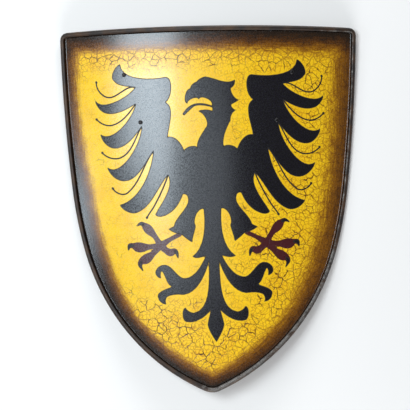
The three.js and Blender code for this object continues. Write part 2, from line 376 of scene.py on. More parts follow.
@dataclass(frozen=True)
class Belly:
    """The full underside of a feather or the sag of a quill, from its tip back to its root.

    Angles are as an Edge's. The deepest place is at a share of the straight line from tip to root,
    and stands off it by another share.
    """

    leave: float
    share: float
    depth: float
    slant: float
    arrive: float


@dataclass(frozen=True)
class Feather:
    """One wing feather: its tip, its hollow upper edge, its full lower edge and the notch under it."""

    tip: tuple[float, float]
    rise: float
    sweep: float
    belly: Belly
    notch: tuple[float, float]


@dataclass(frozen=True)
class Stroke:
    """A painted line or limb: a smooth path with a half-width at each of its places."""

    path: tuple[tuple[float, float], ...]
    half_widths: tuple[float, ...]


def cubic(t: Array, start: Array, end: Array, first: Array, last: Array) -> Array:
    """The cubic in t that runs from start to end and has first and last as its tangents there."""
    return ((2 * t**3 - 3 * t**2 + 1) * start + (t**3 - 2 * t**2 + t) * first
            + (3 * t**2 - 2 * t**3) * end + (t**3 - t**2) * last)


def hermite(start: Array, end: Array, leave: float, arrive: float, steps: int = 9) -> Array:
    """A cubic between two places whose end tangents are as long as the straight line between them.

    Args:
        start: first place.
        end: last place.
        leave: angle at the start in radians, anticlockwise from the straight line.
        arrive: angle at the end, measured alike.
        steps: number of points, without the first.

    Returns:
        The points after the first.
    """
    chord = end - start
    turn = np.array([-chord[1], chord[0]])
    first, last = (chord * math.cos(angle) + turn * math.sin(angle) for angle in (leave, arrive))
    return cubic(np.linspace(0, 1, steps + 1)[1:, None], start, end, first, last)


def belly_curve(tip: Array, root: Array, belly: Belly) -> Array:
    """Two cubics from tip to root that meet at the deepest place of a belly.

    Args:
        tip: of the feather or quill.
        root: where it ends, at the notch.
        belly: its curve, against the straight line from tip to root.

    Returns:
        The points after the tip.
    """
    chord = root - tip
    low = tip + belly.share * chord + belly.depth * np.array([-chord[1], chord[0]])

    def part(start: Array, end: Array, leave: float, arrive: float) -> Array:
        """One of the cubics. Its angles are in degrees from the line between tip and root.

        Args:
            start: its first place.
            end: its last place.
            leave: angle at the start.
            arrive: angle at the end.

        Returns:
            Its points after the first.
        """
        gap = end - start
        swing = math.atan2(chord[1], chord[0]) - math.atan2(gap[1], gap[0])
        return hermite(start, end, math.radians(leave) + swing, math.radians(arrive) + swing)

    return np.concatenate([
        part(tip, low, belly.leave, belly.slant), part(low, root, belly.slant, belly.arrive)])


def follow(start: tuple[float, float], edges: Sequence[Edge]) -> Array:
    """Runs an outline through its edges.

    Args:
        start: its first place.
        edges: what it runs through, in order.

    Returns:
        Its points, with the first.
    """
    points = [np.array([start], dtype=float)]
    for edge in edges:
        points.append(hermite(points[-1][-1], np.array([edge.x, edge.y]),
                              math.radians(edge.leave), math.radians(edge.arrive)))
    return np.concatenate(points)


def smooth_path(places: Array, steps: int = 8) -> Array:
    """A smooth curve through places: the tangent at each is half the step between its neighbours.

    Args:
        places: rows of any width.
        steps: points from each place to the next.

    Returns:
        The curve's points, as rows of the same width.
    """
    tangent = np.gradient(places, axis=0)
    t = np.linspace(0, 1, steps, endpoint=False)[:, None, None]
    curve = cubic(t, places[:-1], places[1:], tangent[:-1], tangent[1:])
    return np.concatenate([curve.transpose(1, 0, 2).reshape(-1, places.shape[1]), places[-1:]])


def blocks(points: Array) -> list[Array]:
    """The points' indices in blocks, so that a table of points by lines stays small."""
    return np.array_split(np.arange(len(points)), max(1, len(points) // BLOCK))


def squared_length(step: Array) -> Array:
    """The squared length of each straight piece, never quite 0."""
    return np.maximum((step**2).sum(-1), TINY)


def nearest_on_lines(gap: Array, step: Array) -> tuple[Array, Array]:
    """Where each straight piece is nearest to each point.

    Args:
        gap: from each piece's start to each point, points by pieces by 2.
        step: from each piece's start to its end, pieces by 2.

    Returns:
        How far along the piece that is, as a share of it, and the distance there.
    """
    share = np.clip((gap * step).sum(-1) / squared_length(step), 0, 1)
    return share, np.hypot(gap[..., 0] - share * step[:, 0], gap[..., 1] - share * step[:, 1])


def distance_to_lines(points: Array, start: Array, end: Array,
                      half_start: Array | float = 0.0, half_end: Array | float = 0.0) -> Array:
    """Distance from each point to the nearest of many straight pieces, less its half-width there.

    Args:
        points: n by 2.
        start: where each piece starts.
        end: where each piece ends.
        half_start: half the piece's width at its start.
        half_end: half its width at its end.

    Returns:
        n distances, negative inside a piece.
    """
    nearest = np.empty(len(points))
    for block in blocks(points):
        share, off = nearest_on_lines(points[block, None, :] - start, end - start)
        nearest[block] = (off - half_start - share * (half_end - half_start)).min(axis=1)
    return nearest


def distance_to_outline(points: Array, outline: Array) -> Array:
    """Distance from each point to a closed outline."""
    return distance_to_lines(points, outline, np.roll(outline, -1, axis=0))


def offset_from_lines(points: Array, start: Array, end: Array) -> tuple[Array, Array]:
    """How each point stands to the nearest of many straight pieces.

    Args:
        points: n by 2.
        start: where each piece starts.
        end: where each piece ends.

    Returns:
        The distance, and how far left of the piece's line the point stands.
    """
    step = end - start
    off, left = np.empty(len(points)), np.empty(len(points))
    for block in blocks(points):
        gap = points[block, None, :] - start
        away = nearest_on_lines(gap, step)[1]
        aside = (step[:, 0] * gap[..., 1] - step[:, 1] * gap[..., 0]) / np.sqrt(squared_length(step))
        row, nearest = np.arange(len(block)), away.argmin(axis=1)
        off[block], left[block] = away[row, nearest], aside[row, nearest]
    return off, left


def inside_outline(points: Array, outline: Array) -> Array:
    """Tests points against a closed outline: inside, a rightward ray crosses an odd number of edges.

    Args:
        points: n by 2.
        outline: m by 2, in order.

    Returns:
        n truths.
    """
    (x0, y0), (x1, y1) = outline.T, np.roll(outline, -1, axis=0).T
    rise = np.where(y1 == y0, TINY, y1 - y0)
    inside = np.zeros(len(points), dtype=bool)
    for block in blocks(points):
        x, y = points[block, 0, None], points[block, 1, None]
        crosses = ((y0 > y) != (y1 > y)) & (x < x0 + (x1 - x0) * (y - y0) / rise)
        inside[block] = crosses.sum(axis=1) % 2 == 1
    return inside


@dataclass(frozen=True)
class Eagle:
    """A plain heraldic eagle, displayed, its head turned to the side: flat paint on the sheet.

    Its own frame has x across and y up, from the middle of the line over its wing tips. Only its
    right half and its head are drawn, and the half is mirrored for the left.
    """

    top: tuple[float, float] = (1.0, -65.0)
    foot: tuple[float, float] = (8.6, -581.0)
    reach: float = 8.0
    left_lift: float = 1.5
    lifted_from: float = 70.0
    lifted_to: float = 180.0
    thumb: tuple[Edge, ...] = (
        Edge(80, -27, 64, -98), Edge(166, 0, -28, 69), Edge(179, -30, 48, -78), Edge(137, -44, 34, -8))
    feathers: tuple[Feather, ...] = (
        Feather((219, -61), -40, 85, Belly(74, 0.29, 0.29, 12, -41), (137, -74)),
        Feather((209, -128), -40, 75, Belly(89, 0.26, 0.37, 17, -47), (127, -116)),
        Feather((197, -190), -42, 88, Belly(91, 0.24, 0.37, 20, -35), (106, -162)),
        Feather((174, -261), -28, 44, Belly(91, 0.20, 0.27, 10, -17), (80, -207)),
        Feather((106, -280), -45, 10, Belly(83, 0.51, 0.20, -7, -34), (54, -244)),
    )
    quills: tuple[tuple[tuple[float, float], Belly], ...] = (
        ((214.5, -31), Belly(88, 0.37, 0.32, -4, 9)),
        ((216, -100), Belly(66, 0.31, 0.26, 9, -35)),
        ((206, -163), Belly(80, 0.28, 0.30, 12, -27)),
        ((187, -230), Belly(103, 0.15, 0.24, 5, -10)),
        ((122, -285), Belly(0, 0.29, 0.03, 2, -9)),
    )
    quill_ball: float = 2.2
    neck_foot: tuple[float, float] = (24, -160)
    collar: tuple[Edge, ...] = (Edge(49, -165, 97, -80), Edge(79, -138, 40, -67), Edge(81, -73, 8, -61))
    thigh: tuple[Edge, ...] = (
        Edge(45, -247, -72, 55), Edge(72, -302, -51, -13), Edge(82, -307), Edge(58, -317, 15, -14),
        Edge(39, -332, 6, -7), Edge(32, -302, -11, -5), Edge(16, -271, -61, 75))
    tail: tuple[Edge, ...] = (
        Edge(40, -359, -20, 41), Edge(14, -357, 31, -17), Edge(52, -398, -16, 38),
        Edge(94, -373, -46, -47), Edge(109, -387, 45, -47), Edge(99, -397, 45, -40),
        Edge(97, -383, -24, 44), Edge(77, -413, -5, -47), Edge(105, -433, 20, -88),
        Edge(90, -445, 52, -44), Edge(86, -430, -73, 70), Edge(58, -428, -17, 12),
        Edge(9.3, -366.5, 46, -23), Edge(40, -462, -16, 63), Edge(55, -452, -29, 35),
        Edge(53, -478, 82, -91), Edge(8, -456, 38, -27), Edge(15, -484, 2, -2), Edge(0, -516, 15, -7))
    head: tuple[Edge, ...] = (
        Edge(38, -110, 27, -14), Edge(50, -92, 46, -53), Edge(40, -81, 54, -59), Edge(57, -72, -5, 3),
        Edge(40, -51, 84, -47), Edge(48, -36, -46, 44), Edge(-6, -29, 44, -1), Edge(-22, -38, -19, 25),
        Edge(-34, -50, -33, 41), Edge(-40, -77, -82, 98), Edge(-19, -70, 90, -92), Edge(5, -78, 93, -60),
        Edge(6, -93), Edge(-22, -92, -27, 20), Edge(-8, -123, 67, -82), Edge(-24, -160, -8, 35))
    tongue: Stroke = Stroke(((8, -85), (-10, -80), (-26, -80), (-38, -87), (-47, -96)),
                            (1.0, 1.6, 1.8, 2.8, 2.2))
    leg: Stroke = Stroke(((62, -317), (80, -326), (98, -337)), (4.2, 4.2, 7.0))
    toes: tuple[Stroke, ...] = (
        Stroke(((98, -337), (108, -320), (120, -307), (128, -299), (134, -296), (142, -300)),
               (6.0, 5.0, 8.5, 5.0, 3.2, 0.6)),
        Stroke(((98, -337), (118, -339), (138, -340), (149, -337), (157, -337), (160, -346)),
               (6.5, 4.8, 9.5, 5.2, 4.2, 0.6)),
        Stroke(((98, -337), (112, -351), (125, -361), (134, -365), (138, -372), (133, -383)),
               (6.5, 5.4, 9.0, 6.2, 4.2, 0.6)),
        Stroke(((98, -337), (89, -345), (80, -350), (72, -347), (68, -351), (66, -360)),
               (6.5, 5.8, 7.0, 4.6, 3.2, 0.6)),
    )
    claw: tuple[float, float, float] = (1.2, 2.6, 0.8)
    upper_steps: int = 24

    def claws(self) -> list[Stroke]:
        """The black tips of the toes: the last three places of each."""
        return [Stroke(toe.path[-3:], self.claw) for toe in self.toes]

    def half_outline(self) -> Array:
        """The right half, from the foot of the neck round the wing and down to the tail's tip.

        Returns:
            n by 2 points.
        """
        points = follow(self.neck_foot, self.collar + self.thumb)
        for feather in self.feathers:
            root, tip, notch = points[-1], np.array(feather.tip), np.array(feather.notch)
            rise, sweep = math.radians(feather.rise), math.radians(feather.sweep)
            upper = hermite(root, tip, rise, sweep, self.upper_steps)
            points = np.concatenate([points, upper, belly_curve(tip, notch, feather.belly)])
        rest = follow(tuple(points[-1]), self.thigh + self.tail)
        return np.concatenate([points, rest[1:]])

    def mirrored(self, places: Array) -> Array:
        """Places of the left half: the right half's, mirrored, and higher towards the wing tips."""
        lift = self.left_lift * smooth_step(self.lifted_from, self.lifted_to, places[:, 0])
        return np.stack([-places[:, 0], places[:, 1] + lift], -1)

    def outline(self) -> Array:
        """The whole black figure: the head, then the left half down and the right half back up.

        Returns:
            n by 2 points.
        """
        half = self.half_outline()
        head = follow(self.neck_foot, self.head)
        return np.concatenate([head, self.mirrored(half[1:]), half[:-1][::-1]])

    def both_sides(self, strokes: Sequence[Stroke]) -> list[Stroke]:
        """The strokes and their mirror images."""
        left = [Stroke(tuple(map(tuple, self.mirrored(np.array(s.path)))), s.half_widths) for s in strokes]
        return list(strokes) + left

    def quill_lines(self) -> list[Array]:
        """The thin quills in the gaps between the feathers, from their outer ends to their roots.

        Returns:
            One run of points for each quill.
        """
        roots = [(self.thumb[-1].x, self.thumb[-1].y)] + [feather.notch for feather in self.feathers[:-1]]
        right = [np.concatenate([[ball], belly_curve(np.array(ball, dtype=float), np.array(root), belly)])
                 for root, (ball, belly) in zip(roots, self.quills)]
        return right + [self.mirrored(line) for line in right]

    def to_own_frame(self, sheet: Array) -> Array:
        """Turns places on the flat sheet into the eagle's own frame, whose y runs from foot to top.

        Args:
            sheet: n by 2, across and along.

        Returns:
            n by 2, from the middle of the line over the wing tips.
        """
        top, foot = np.array(self.top), np.array(self.foot)
        down = (foot - top) / np.linalg.norm(foot - top)
        across = np.array([-down[1], down[0]])
        gap = sheet - top
        return np.stack([gap @ across, -(gap @ down)], -1)

    def limb_distance(self, places: Array, strokes: Sequence[Stroke], smooth: bool) -> Array:
        """Distance to the nearest of some strokes, negative inside them.

        Args:
            places: n by 2, in the eagle's own frame.
            strokes: the lines or limbs.
            smooth: whether their paths are rounded through their places.

        Returns:
            n distances.
        """
        starts, ends = [], []
        for stroke in strokes:
            line = np.column_stack([np.array(stroke.path), stroke.half_widths])
            line = smooth_path(line) if smooth else line
            starts.append(line[:-1])
            ends.append(line[1:])
        start, end = np.concatenate(starts), np.concatenate(ends)
        return distance_to_lines(places, start[:, :2], end[:, :2], start[:, 2], end[:, 2])

    def distances(self, sheet: Array) -> tuple[Array, Array, Array]:
        """How far each place on the sheet is from the figure's paint.

        A quill is thinner than the mesh's faces, so how far left of its line a place stands is
        stored: that runs evenly through zero from point to point, and the finish draws the line.

        Args:
            sheet: n by 2, across and along.

        Returns:
            The distances to the black and the red paint in millimetres, negative inside and cut off
            at the eagle's reach; and for the quills the offset to the left, the distance and 0.
        """
        places = self.to_own_frame(sheet)
        outline = self.outline()
        near = distance_to_outline(places, outline)
        quills = self.quill_lines()
        balls = [Stroke((tuple(line[0]),) * 2, (self.quill_ball,) * 2) for line in quills]
        black = np.minimum.reduce([
            np.where(inside_outline(places, outline), -near, near),
            self.limb_distance(places, [self.tongue] + self.both_sides(self.claws()), True),
            self.limb_distance(places, balls, False)])
        red = self.limb_distance(places, self.both_sides((self.leg,) + self.toes), True)
        starts = np.concatenate([line[:-1] for line in quills])
        ends = np.concatenate([line[1:] for line in quills])
        off, left = offset_from_lines(places, starts, ends)
        thin = np.stack([left, off, np.zeros(len(off))], -1)
        black, red, thin = (np.clip(part, -self.reach, self.reach) for part in (black, red, thin))
        return black, red, thin


# Shader nodes

class Value:
    """A shader socket, or a number, that adds Math nodes when it is used in an expression."""

    def __init__(self, nodes: "Nodes", socket: Any) -> None:
        """Args: nodes, the tree's maker; socket, an output socket or a plain number."""
        self.nodes = nodes
        self.socket = socket

    def _math(self, operation: str, *others: Any) -> "Value":
        """A Math node on this value and others."""
        inputs = {index: other for index, other in enumerate((self,) + others)}
        return self.nodes.add("ShaderNodeMath", {"operation": operation}, inputs)

    def __add__(self, other: Any) -> "Value":
        """Both together."""
        return self._math("ADD", other)

    def __sub__(self, other: Any) -> "Value":
        """This less the other."""
        return self._math("SUBTRACT", other)

    def __rsub__(self, other: Any) -> "Value":
        """The other less this."""
        return Value(self.nodes, other)._math("SUBTRACT", self)

    def __mul__(self, other: Any) -> "Value":
        """This times the other."""
        return self._math("MULTIPLY", other)

    __radd__ = __add__
    __rmul__ = __mul__

    def size(self) -> "Value":
        """This value without its sign."""
        return self._math("ABSOLUTE")

    def or_more(self, other: Any) -> "Value":
        """The larger of this value and another."""
        return self._math("MAXIMUM", other)

    def between(self, low: float, high: float, start: float = 0.0, end: float = 1.0) -> "Value":
        """A smooth step from start to end as this value goes from low to high.

        Args:
            low: the value at which the step starts.
            high: the value at which it ends.
            start: the result up to low.
            end: the result from high on.

        Returns:
            The result.
        """
        settings = {"interpolation_type": "SMOOTHSTEP"}
        inputs = {"Value": self, "From Min": low, "From Max": high, "To Min": start, "To Max": end}
        return self.nodes.add("ShaderNodeMapRange", settings, inputs)


@dataclass(frozen=True)
class Grain:
    """A noise: how many of its largest features a metre holds, its finer layers and their strength."""

    per_metre: float
    layers: float = 3.0
    roughness: float = 0.5


class Nodes:
    """Makes the nodes of one material."""

    def __init__(self, name: str) -> None:
        """Args: name, the new material's name."""
        self.material = bpy.data.materials.new(name)
        self.material.use_nodes = True
        self.tree = self.material.node_tree
        self.tree.nodes.clear()

    def add(self, kind: str, settings: dict[str, Any], inputs: dict[Any, Any], output: Any = 0) -> Value:
        """Adds one node.

        Args:
            kind: the node's type.
            settings: attributes set before its sockets; "stops" fills a colour ramp.
            inputs: socket name or index to a number, a colour or a Value.
            output: name or index of the output that is wanted.

        Returns:
            That output.
        """
        node = self.tree.nodes.new(kind)
        for key, setting in settings.items():
            if key == "stops":
                self._fill_ramp(node.color_ramp, setting)
            else:
                setattr(node, key, setting)
        for key, given in inputs.items():
            given = given.socket if isinstance(given, Value) else given
            if isinstance(given, bpy.types.NodeSocket):
                self.tree.links.new(given, node.inputs[key])
            else:
                node.inputs[key].default_value = given
        return Value(self, node.outputs[output]) if len(node.outputs) else Value(self, None)

    @staticmethod
    def _fill_ramp(ramp: bpy.types.ColorRamp, stops: Stops) -> None:
        """Sets a colour ramp's stops.

        Args:
            ramp: the colour ramp.
            stops: places from 0 to 1, each with its colour.
        """
        while len(ramp.elements) < len(stops):
            ramp.elements.new(1.0)
        for element, (place, colour) in zip(ramp.elements, stops):
            element.position = place
            element.color = (*colour, 1.0)

    def attribute(self, name: str, output: str = "Fac") -> Value:
        """Reads a piece's own attribute."""
        return self.add("ShaderNodeAttribute", {"attribute_name": name}, {}, output)

    def object_place(self) -> Value:
        """The place on the piece, in its object's frame."""
        return self.add("ShaderNodeTexCoord", {}, {}, "Object")

    def part(self, vector: Value, axis: str) -> Value:
        """One number of a vector: X, Y or Z."""
        return self.add("ShaderNodeSeparateXYZ", {}, {"Vector": vector}, axis)

    def stretched(self, place: Value, share: float) -> Value:
        """A place whose patterns are drawn out along Y, to 1 / share of their length."""
        return self.add("ShaderNodeMapping", {}, {"Vector": place, "Scale": (1.0, share, 1.0)})

    def noise(self, place: Value, grain: Grain, output: str = "Fac") -> Value:
        """A noise from 0 to 1.

        Args:
            place: where it is read.
            grain: its features.
            output: name of the output that is wanted.

        Returns:
            That output.
        """
        inputs = {"Vector": place, "Scale": grain.per_metre, "Detail": grain.layers,
                  "Roughness": grain.roughness}
        return self.add("ShaderNodeTexNoise", {}, inputs, output)

    def mix(self, share: Any, first: Any, second: Any) -> Value:
        """Goes from the first colour to the second."""
        inputs = {0: share, 6: first, 7: second}
        return self.add("ShaderNodeMix", {"data_type": "RGBA"}, inputs, 2)

    def ramp(self, value: Value, stops: Stops) -> Value:
        """A colour ramp."""
        return self.add("ShaderNodeValToRGB", {"stops": stops}, {0: value}, 0)

    def vector(self, operation: str, inputs: dict[Any, Any]) -> Value:
        """A Vector Math node."""
        return self.add("ShaderNodeVectorMath", {"operation": operation}, inputs)

    def warped(self, place: Value, per_metre: float, strength: float) -> Value:
        """A place pushed about by a noise, by up to half of strength, in metres.

        Args:
            place: the place before it is pushed.
            per_metre: the noise's features.
            strength: twice the longest push, in metres.

        Returns:
            The place after it.
        """
        colour = self.noise(place, Grain(per_metre, 2.0), "Color")
        centred = self.vector("SUBTRACT", {0: colour, 1: (0.5, 0.5, 0.5)})
        return self.vector("ADD", {0: place, 1: self.vector("SCALE", {0: centred, "Scale": strength})})

    def cell_edges(self, place: Value, cell: float) -> Value:
        """Distance to the nearest border of a pattern of cells, as a share of a cell's size in mm.

        Args:
            place: where it is read.
            cell: a cell's size, in millimetres.

        Returns:
            That share.
        """
        settings = {"feature": "DISTANCE_TO_EDGE", "voronoi_dimensions": "2D"}
        inputs = {"Vector": place, "Scale": 1 / (cell * MM), "Randomness": 1.0}
        return self.add("ShaderNodeTexVoronoi", settings, inputs, "Distance")

    def bump(self, height: Value, distance: float, strength: float = 0.8) -> Value:
        """A normal from a height, which is in shares of distance, in metres."""
        inputs = {"Strength": strength, "Distance": distance, "Height": height}
        return self.add("ShaderNodeBump", {}, inputs, "Normal")

    def surface(self, inputs: dict[str, Any]) -> bpy.types.Material:
        """Ends the material with a Principled surface and returns it.

        Args:
            inputs: the Principled node's sockets, by name.

        Returns:
            The material.
        """
        shader = self.add("ShaderNodeBsdfPrincipled", {}, inputs)
        self.add("ShaderNodeOutputMaterial", {}, {"Surface": shader})
        return self.material


@dataclass(frozen=True)
class FacePaint:
    """Yellow crackled paint with a dark smoked border, under the black and red figure."""

    yellow: Colour = (0.95, 0.585, 0.008, 1)
    yellow_deep: Colour = (0.88, 0.505, 0.006, 1)
    craze: Colour = (0.36, 0.095, 0.003, 1)
    crack: Colour = (0.060, 0.012, 0.002, 1)
    black: Colour = (0.0062, 0.0048, 0.0062, 1)
    black_violet: Colour = (0.009, 0.006, 0.016, 1)
    red: Colour = (0.060, 0.008, 0.010, 1)
    outline: Colour = (0.010, 0.006, 0.005, 1)
    smoked: Stops = (
        (0.00, (0.008, 0.0055, 0.004)), (0.32, (0.022, 0.011, 0.005)), (0.48, (0.080, 0.027, 0.004)),
        (0.62, (0.215, 0.079, 0.003)), (0.76, (0.47, 0.22, 0.005)), (0.92, (0.95, 0.585, 0.008)))
    blotches: Grain = Grain(22, 4, 0.6)
    clouds: Grain = Grain(42, 4, 0.6)
    streaks: Grain = Grain(1.0, 4, 0.65)
    dabs: Grain = Grain(330, 3, 0.7)
    grain: Grain = Grain(620, 3, 0.75)
    pits: Grain = Grain(240, 3, 0.6)
    speckle: Grain = Grain(430, 1)
    wobble: Grain = Grain(260)
    crack_patches: Grain = Grain(26, 3, 0.6)
    craze_patches: Grain = Grain(60, 3, 0.6)
    large_cell: float = 15.0
    small_cell: float = 6.5
    large_bend: tuple[float, float] = (45, 0.014)
    small_bend: tuple[float, float] = (170, 0.005)
    craze_bend: tuple[float, float] = (30, 0.02)
    hand_wobble: float = 0.4
    edge_blur: float = 0.3
    brim_middle: float = -0.15
    brim_half: float = 1.05
    brim_core: float = 0.35
    quill_half: float = 1.3
    quill_blur: float = 0.3
    quill_reach: tuple[float, float] = (3.3, 2.5)
    relief: float = 0.00022

    def material(self) -> bpy.types.Material:
        """Builds the finish.

        Returns:
            The material.
        """
        nodes = Nodes("face_paint")
        place = nodes.attribute("sheet", "Vector")
        crazed = nodes.attribute("crazed")
        fine, wide, cupping = self._cracks(nodes, place, crazed)
        black, red, outline = self._figure(nodes, place)
        dabs = nodes.noise(place, self.dabs)
        clouds = nodes.noise(place, self.clouds) - 0.5
        streaks = nodes.noise(nodes.attribute("streak", "Vector"), self.streaks) - 0.5
        smoke = (nodes.attribute("border") * 0.75 + clouds * 0.18 + streaks * 0.34
                 + (dabs - 0.5) * 0.20 - (fine + wide) * 0.06)

        blotches = nodes.noise(place, self.blotches).between(0.42, 0.72)
        yellow = nodes.mix(blotches, self.yellow, self.yellow_deep)
        yellow = nodes.mix(wide, nodes.mix(fine, yellow, self.craze), self.crack)
        ground = nodes.mix(smoke.between(0.66, 0.94), nodes.ramp(smoke, self.smoked), yellow)
        ink = nodes.mix(dabs.between(0.5, 0.7), self.black, self.black_violet)
        colour = nodes.mix(black, nodes.mix(red, ground, self.red), ink)
        colour = nodes.mix(outline * 0.85, colour, self.outline)

        grain = nodes.noise(place, self.grain)
        speckle = nodes.noise(place, self.speckle)
        bare = smoke.between(0.45, 0.85) * (1 - black)
        matt = crazed * bare
        rough = 0.15 + grain * 0.10 + speckle.between(0.35, 0.65) * 0.11 + outline * 0.35 + matt * 0.15
        varnish = speckle.between(0.13, 0.70) * (1 - outline) * (1 - matt * 0.9)
        varnish = varnish * (smoke.between(0.35, 0.85, 0.74, 1.0) + black * 0.1)
        height = grain * 0.20 + nodes.noise(place, self.pits) * 0.20 + cupping * bare * 0.25
        height = height - (fine * 0.25 + wide) * bare
        return nodes.surface({
            "Base Color": colour, "Roughness": rough, "IOR": 1.5, "Specular Tint": (0.80, 0.91, 1.0, 1),
            "Normal": nodes.bump(height, self.relief, 0.9), "Coat Weight": varnish,
            "Coat Roughness": 0.24, "Coat Tint": (0.93, 0.97, 1.0, 1),
        })

    def _figure(self, nodes: Nodes, place: Value) -> tuple[Value, Value, Value]:
        """The figure's paint, from its stored distances, with hand-painted edges.

        Args:
            nodes: the material's.
            place: on the flat sheet.

        Returns:
            Where the black, the red and the brown outline lie, 0 to 1.
        """
        wobble = (nodes.noise(place, self.wobble) - 0.5) * self.hand_wobble * 2
        offset = nodes.attribute("quill", "Vector")
        beside = nodes.part(offset, "X").size() + wobble * 0.4
        line = beside.between(self.quill_half + self.quill_blur, self.quill_half - self.quill_blur)
        line = line * nodes.part(offset, "Y").between(*self.quill_reach)
        distance = nodes.attribute("black")
        black = (distance + wobble).between(self.edge_blur, -self.edge_blur).or_more(line)
        red = (nodes.attribute("red") + wobble).between(self.edge_blur, -self.edge_blur)
        brim = (distance + wobble - self.brim_middle).size().between(self.brim_half, self.brim_core)
        return black, red, brim.or_more(line * distance.between(-0.5, 0.6))

    def _cracks(self, nodes: Nodes, place: Value, crazed: Value) -> tuple[Value, Value, Value]:
        """The crackle: borders of warped cells, in patches.

        Args:
            nodes: the material's.
            place: on the flat sheet.
            crazed: how much of the paint is crackled, 0 to 1.

        Returns:
            Fine crazing and wide cracks, 0 to 1, and the cupped height of the flakes between them.
        """
        bent = nodes.warped(nodes.warped(place, *self.large_bend), *self.small_bend)
        large = nodes.cell_edges(bent, self.large_cell)
        small = nodes.cell_edges(nodes.warped(bent, *self.craze_bend), self.small_cell)
        strength = (nodes.noise(place, self.crack_patches) - 0.5) * 1.6 + crazed
        spread = (nodes.noise(place, self.craze_patches) - 0.5) * 1.4 + crazed
        wide = large.between(0.074, 0.018) * strength.between(0.26, 0.78)
        gaping = large.between(0.105, 0.040) * strength.between(0.78, 1.05)
        fine = small.between(0.150, 0.03) * spread.between(0.0, 0.75) * 0.65
        return fine, wide.or_more(gaping), large.between(0.0, 0.35) * crazed


@dataclass(frozen=True)
class RimPaint:
    """Blackened brown paint on the rolled edge, rubbed through to grey steel where hands wear it, and grey
    steel along the inside of the right side that is partly wear and partly a painted highlight.
    """

    dark: Colour = (0.013, 0.009, 0.0075, 1)
    brown: Colour = (0.058, 0.027, 0.011, 1)
    steel: Colour = (0.20, 0.19, 0.18, 1)
    spots: Grain = Grain(75, 5, 0.75)
    scratches: Grain = Grain(380, 4, 0.8)
    stains: Grain = Grain(38, 4, 0.6)
    relief: float = 0.0004

    def material(self) -> bpy.types.Material:
        """Builds the finish.

        Returns:
            The material.
        """
        nodes = Nodes("rim_paint")
        place = nodes.attribute("sheet", "Vector")
        spots = nodes.noise(place, self.spots)
        scratches = nodes.noise(place, self.scratches)
        stains = nodes.noise(place, self.stains)
        # The grey steel inside the right side is partly wear and partly a painted highlight on the bead's
        # inner flank.
        rubbed = (spots * 0.8 + scratches * 0.5 + nodes.attribute("worn") * 0.45).between(0.82, 1.02)
        colour = nodes.mix(stains.between(0.35, 0.7), self.dark, self.brown)
        height = spots * 0.5 + scratches * 0.3 - rubbed * 0.3
        return nodes.surface({
            "Base Color": nodes.mix(rubbed, colour, self.steel),
            "Roughness": 0.42 + scratches * 0.2 - rubbed * 0.1,
            "Metallic": rubbed * 0.5, "Normal": nodes.bump(height, self.relief),
        })


@dataclass(frozen=True)
class BackPaint:
    """Plain dark brown paint on the back of the sheet, thin and brushed on."""

    dark: Colour = (0.020, 0.014, 0.010, 1)
    light: Colour = (0.050, 0.034, 0.022, 1)
    bristles: Grain = Grain(300, 4, 0.6)
    stroke_stretch: float = 0.12
    patches: Grain = Grain(16, 4, 0.6)
    grit: Grain = Grain(700, 2)
    relief: float = 0.0003

    def material(self) -> bpy.types.Material:
        """Builds the finish.

        Returns:
            The material.
        """
        nodes = Nodes("back_paint")
        place = nodes.attribute("sheet", "Vector")
        brushed = nodes.noise(nodes.stretched(place, self.stroke_stretch), self.bristles)
        thin = brushed * 0.5 + nodes.noise(place, self.patches) * 0.6
        height = brushed * 0.5 + nodes.noise(place, self.grit) * 0.4
        return nodes.surface({
            "Base Color": nodes.mix(thin.between(0.35, 0.8), self.dark, self.light),
            "Roughness": 0.48 + brushed * 0.2, "Normal": nodes.bump(height, self.relief, 0.7),
        })


@dataclass(frozen=True)
class BlackSteel:
    """Blackened rivet steel, a little rubbed on top."""

    black: Colour = (0.010, 0.009, 0.011, 1)
    rubbed: Colour = (0.10, 0.095, 0.09, 1)
    spots: Grain = Grain(500, 4, 0.7)
    relief: float = 0.0002

    def material(self) -> bpy.types.Material:
        """Builds the finish.

        Returns:
            The material.
        """
        nodes = Nodes("black_steel")
        spots = nodes.noise(nodes.object_place(), self.spots)
        return nodes.surface({
            "Base Color": nodes.mix(spots.between(0.55, 0.8), self.black, self.rubbed),
            "Roughness": 0.26 + spots * 0.2, "Metallic": 0.35, "Normal": nodes.bump(spots, self.relief),
        })


@dataclass(frozen=True)
class WaxedLeather:
    """Dark brown strap leather with pores and creases, darker at its edges."""

    light: Colour = (0.105, 0.042, 0.016, 1)
    dark: Colour = (0.028, 0.011, 0.006, 1)
    pores_per_metre: float = 900.0
    pore_bend: tuple[float, float] = (300, 0.002)
    stains: Grain = Grain(45, 5, 0.6)
    creases: Grain = Grain(160, 4, 0.6)
    crease_stretch: float = 0.25
    relief: float = 0.0004

    def material(self) -> bpy.types.Material:
        """Builds the finish.

        Returns:
            The material.
        """
        nodes = Nodes("waxed_leather")
        place = nodes.attribute("leather", "Vector")
        scattered = {"Vector": nodes.warped(place, *self.pore_bend), "Scale": self.pores_per_metre}
        pores = nodes.add("ShaderNodeTexVoronoi", {}, scattered, "Distance")
        creases = nodes.noise(nodes.stretched(place, self.crease_stretch), self.creases)
        stains = nodes.noise(place, self.stains)
        colour = nodes.mix(stains.between(0.3, 0.75), self.dark, self.light)
        colour = nodes.mix(nodes.attribute("rim").between(0.0, 1.0) * 0.85, colour, self.dark)
        return nodes.surface({
            "Base Color": colour, "Roughness": 0.44 + pores * 0.25,
            "Normal": nodes.bump(pores * 0.5 + creases * 0.8, self.relief),
        })


